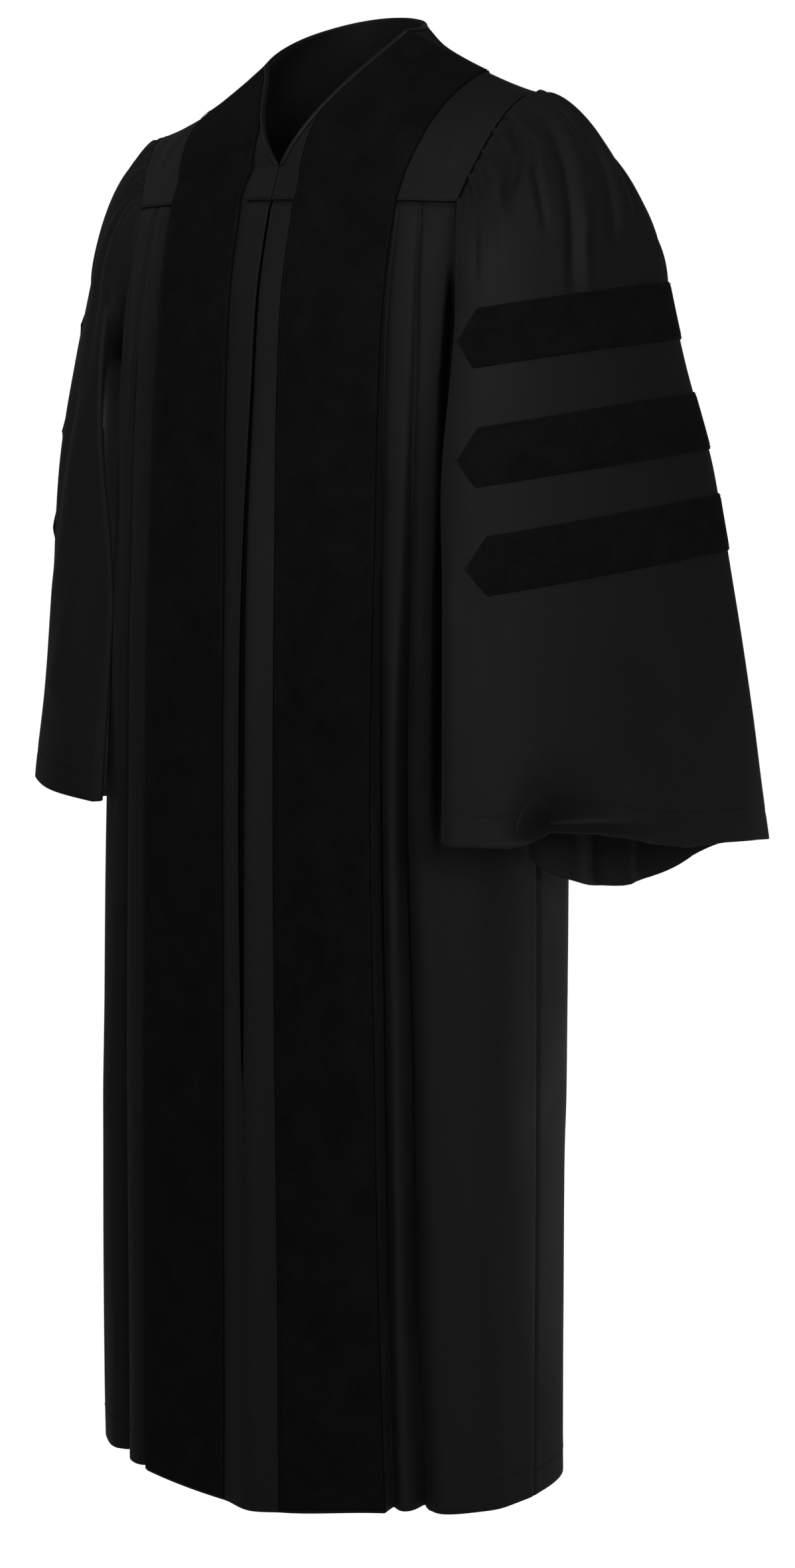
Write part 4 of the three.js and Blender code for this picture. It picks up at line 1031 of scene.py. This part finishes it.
# stitches and zip teeth: short shapes repeated along a run of points
def makeRepeatTree(name, material):
    tree = bpy.data.node_groups.new(name, "GeometryNodeTree")
    sockets = tree.interface
    sockets.new_socket("Geometry", in_out="INPUT", socket_type="NodeSocketGeometry")
    for label in ("Pitch", "Length", "Width", "Height"):
        sockets.new_socket(label, in_out="INPUT", socket_type="NodeSocketFloat")
    sockets.new_socket("Geometry", in_out="OUTPUT", socket_type="NodeSocketGeometry")
    start = addNode(tree, "NodeGroupInput").outputs
    stepped = addNode(tree, "GeometryNodeResampleCurve", _mode="LENGTH", Curve=start["Geometry"], Length=start["Pitch"])
    points = addNode(tree, "GeometryNodeCurveToPoints", _mode="EVALUATED", Curve=stepped.outputs["Curve"]).outputs
    shape = addNode(tree, "GeometryNodeMeshCylinder", Vertices=6, Radius=0.5, Depth=1.0)
    size = addNode(tree, "ShaderNodeCombineXYZ", X=start["Width"], Y=start["Height"], Z=start["Length"])
    placed = addNode(tree, "GeometryNodeInstanceOnPoints", Points=points["Points"], Rotation=points["Rotation"],
                     Instance=shape.outputs["Mesh"], Scale=size.outputs["Vector"])
    real = addNode(tree, "GeometryNodeRealizeInstances", Geometry=placed.outputs["Instances"])
    painted = addNode(tree, "GeometryNodeSetMaterial", Geometry=real.outputs["Geometry"], Material=material)
    addNode(tree, "NodeGroupOutput", Geometry=painted.outputs["Geometry"])
    return tree


def repeatAlong(name, runs, tree, sizes):
    curve = bpy.data.curves.new(name, "CURVE")
    curve.dimensions = "3D"
    for run in runs:
        spline = curve.splines.new("POLY")
        spline.points.add(len(run) - 1)
        spline.points.foreach_set("co", np.concatenate([run * toMetres, np.ones((len(run), 1))], 1).ravel())
    guide = addObject(name + "_guide", curve)
    modifier = guide.modifiers.new("repeat", "NODES")
    modifier.node_group = tree
    for item in tree.interface.items_tree:
        if item.in_out == "INPUT" and item.name in sizes:
            modifier[item.identifier] = sizes[item.name]
    bpy.context.view_layer.update()
    evaluated = guide.evaluated_get(bpy.context.evaluated_depsgraph_get())
    mesh = bpy.data.meshes.new_from_object(evaluated)
    guide.modifiers.remove(modifier)
    bpy.data.objects.remove(guide)
    bpy.data.curves.remove(curve)
    mesh.name = name
    piece = addObject(name, mesh)
    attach(piece, "root")


stitchLook = {"Pitch": 0.0032, "Length": 0.0023, "Width": 0.00055, "Height": 0.00055}
bandShadowLook = {"Pitch": 0.0030, "Length": 0.0033, "Width": 0.0015, "Height": 0.0015}  # hold the bands' edges down; close-set and near-black, they are a painted shadow line along those edges
seamLook = {"lift": 0.05, "inset": 1.6, "bandShadowInset": -0.5, "hem": 30, "cuff": sleeveLook["hem"]["depth"]}
borders = {"first": (np.s_[:, 0], np.s_[:, 1]), "last": (np.s_[:, -1], np.s_[:, -2]),
           "top": (np.s_[0], np.s_[1]), "bottom": (np.s_[-1], np.s_[-2])}


def rowInside(sheet, border, lift, inset=seamLook["inset"]):  # a run of stitches beside one border of a sheet
    grid, normal = sheet
    edge, beside = borders[border]
    return grid[edge] + unit(grid[beside] - grid[edge]) * inset + normal[edge] * lift


def rowAbove(grid, normal, bottom, height):  # a run of stitches at a hem's upper edge
    row = np.argmin(np.abs(grid[:, 0, 2] - (bottom + height)))
    return grid[row] + normal[row] * seamLook["lift"]


bandTop, barTop = (look["lift"] + look["wall"] + seamLook["lift"] for look in (bandLook, barLook))
bandRuns, bandShadowRuns, barRuns, seamRuns = [], [], [], []
for side in (1, -1):
    for border in ("first", "last"):
        bandRuns.append(rowInside(bandGrids[side], border, bandTop))
        # just outside each band's edge: the run for the painted shadow line
        bandShadowRuns.append(rowInside(bandGrids[side], border, bandLook["lift"], seamLook["bandShadowInset"]))
    for number in range(len(barLook["centres"])):
        barRuns += [rowInside(barGrids[side, number], border, barTop) for border in ("top", "bottom")]
    yokeSeam = rowInside((frontYokes[side], frontYokeNormals[side]), "bottom", seamLook["lift"])
    seamRuns += [yokeSeam[bandStart + bandForm["columns"]:], yokeSeam[:bandStart]]
    hemRow = rowAbove(frontPanels[side], frontNormals[side], bodyForm["hem"], seamLook["hem"])
    seamRuns.append(hemRow[bandFirst + bandForm["columns"]:])
    seamRuns.append(rowAbove(sleeves[side], sleevesNormals[side], sleeves[side][-1, 0, 2], seamLook["cuff"]))
seamRuns.append(rowAbove(backPanel, backNormal, bodyForm["hem"], seamLook["hem"]))
stitchTree = makeRepeatTree("stitches", materials["thread"])
# near-black stitches along the bands' edges: painted shadow
bandShadowTree = makeRepeatTree("band_shadow_stitches", materials["band_shadow_thread"])
repeatAlong("gown_stitches_bands", bandRuns, stitchTree, stitchLook)
repeatAlong("gown_band_edge_painted_shadow", bandShadowRuns, bandShadowTree, bandShadowLook)
repeatAlong("gown_stitches_bars", barRuns, stitchTree, stitchLook)
repeatAlong("gown_stitches_seams", seamRuns, stitchTree, stitchLook)

teethLook = {"Pitch": 0.0024, "Length": 0.0013, "Width": 0.0044, "Height": 0.0017}
teethPlace = {"below": 2, "above": 3, "before": 1.0}  # short of the tape's ends, in front of the tape
level = frontPanels[1][:, 0, 2]
lowest, highest = closureForm["tapeEnd"] + teethPlace["above"], frontTop - teethPlace["below"]
rows = np.flatnonzero((level >= lowest) & (level < highest))
middle = (frontPanels[1][rows, 0] + frontPanels[-1][rows, 0]) / 2
middle[:, 1] += tapeLook["depth"] - teethPlace["before"]
repeatAlong("gown_zip_teeth", [middle], makeRepeatTree("zip_teeth", materials["teeth"]), teethLook)
print("stitches and teeth ready")


# plain pale floor a hand below the hem, and a white room
stageLook = {
    "drop": 0.16, "half": 60.0, "colour": (0.42, 0.42, 0.42, 1), "rough": 0.9, "white": (1, 1, 1, 1),
    "sky": 0.06, "backdrop": 1.0, "floorGlow": 1.0, "bounce": 0.08,
}
floorLevel = bodyForm["hem"] * toMetres - stageLook["drop"]
floorMesh = bpy.data.meshes.new("floor")
corners = [(x * stageLook["half"], y * stageLook["half"], floorLevel) for x, y in ((-1, -1), (1, -1), (1, 1), (-1, 1))]
floorMesh.from_pydata(corners, [], [(0, 1, 2, 3)])
floor = addObject("floor", floorMesh)
floorFinish = bpy.data.materials.new("pale_floor")
floorFinish.use_nodes = True
floorTree = floorFinish.node_tree
floorShader = floorTree.nodes["Principled BSDF"].inputs
floorShader["Base Color"].default_value = stageLook["colour"]
floorShader["Roughness"].default_value = stageLook["rough"]
floorShader["Emission Color"].default_value = stageLook["white"]
seen = addNode(floorTree, "ShaderNodeLightPath").outputs["Is Camera Ray"]
extra = stageLook["floorGlow"] - stageLook["bounce"]  # white to the camera, a weaker bounce under the gown
floorTree.links.new(calc(floorTree, "MULTIPLY_ADD", seen, extra, stageLook["bounce"]), floorShader["Emission Strength"])
floorMesh.materials.append(floorFinish)

world = bpy.data.worlds.new("studio")
bpy.context.scene.world = world
world.use_nodes = True
sky = world.node_tree
backdrop = sky.nodes["Background"].inputs
seen = addNode(sky, "ShaderNodeLightPath").outputs["Is Camera Ray"]
strength = addNode(sky, "ShaderNodeMix", _data_type="FLOAT", i0=seen, i2=stageLook["sky"], i3=stageLook["backdrop"])
sky.links.new(strength.outputs[0], backdrop["Strength"])
backdrop["Color"].default_value = stageLook["white"]

lightLook = {  # place, aim, size, watts, spread in degrees
    "key_right": ((2.65, -2.0, 0.35), (0.0, 0.0, -0.55), 1.0, 17, 180),
    "front_soft": ((1.8, -2.7, -0.1), (0.0, 0.0, -0.7), 1.6, 3.6, 180),
    "side_low": ((1.15, 1.7, -1.5), (0.2, 0.0, -1.12), 0.5, 0.17, 32),
    "back_soft": ((-1.2, 2.8, -1.0), (0.0, 0.0, -0.6), 1.3, 9, 180),
    "top_soft": ((-0.2, -1.1, 2.2), (0.0, 0.0, -0.4), 2.0, 1.6, 180),
    "neck_fill": ((0.3, -1.0, 0.3), (0.0, 0.05, 0.0), 0.4, 1.7, 180),
    "rim_left": ((-1.6, -0.3, 0.6), (-0.3, 0.0, -0.25), 0.6, 0.16, 60),
}


def aimed(place, aim):
    dx, dy, dz = (a - p for p, a in zip(place, aim))
    return (math.atan2(math.hypot(dx, dy), -dz), 0.0, math.atan2(-dx, dy))


for name, (place, aim, size, watts, beam) in lightLook.items():
    lamp = bpy.data.lights.new(name, "AREA")
    lamp.size = size
    lamp.energy = watts
    lamp.spread = math.radians(beam)
    holder = addObject(name, lamp)
    holder.location = place
    holder.rotation_euler = aimed(place, aim)

# camera at the photograph's angle: from the wearer's left front, looking slightly down
cameraLook = {
    "azimuth": 35.0, "distance": 3.117, "level": -0.2339, "pitch": 8.4, "sensor": 36.0, "reach": 200.0,
    "focal": 4962, "centre": 507, "picture": (1198, 2364),  # in the photograph's pixels
}
azimuth = math.radians(cameraLook["azimuth"])
distance = cameraLook["distance"]
wide, high = cameraLook["picture"]
sideways = (wide / 2 - cameraLook["centre"]) / cameraLook["focal"] * distance
camera = addObject("camera", bpy.data.cameras.new("camera"))
camera.data.sensor_width = cameraLook["sensor"]
camera.data.lens = cameraLook["focal"] / high * cameraLook["sensor"]
camera.data.clip_end = cameraLook["reach"]
camera.location = (distance * math.sin(azimuth) + sideways * math.cos(azimuth),
                   -distance * math.cos(azimuth) + sideways * math.sin(azimuth), cameraLook["level"])
camera.rotation_euler = (math.pi / 2 - math.radians(cameraLook["pitch"]), 0.0, azimuth)
bpy.context.scene.camera = camera
bpy.context.scene.view_settings.view_transform = "Standard"
print("stage ready")
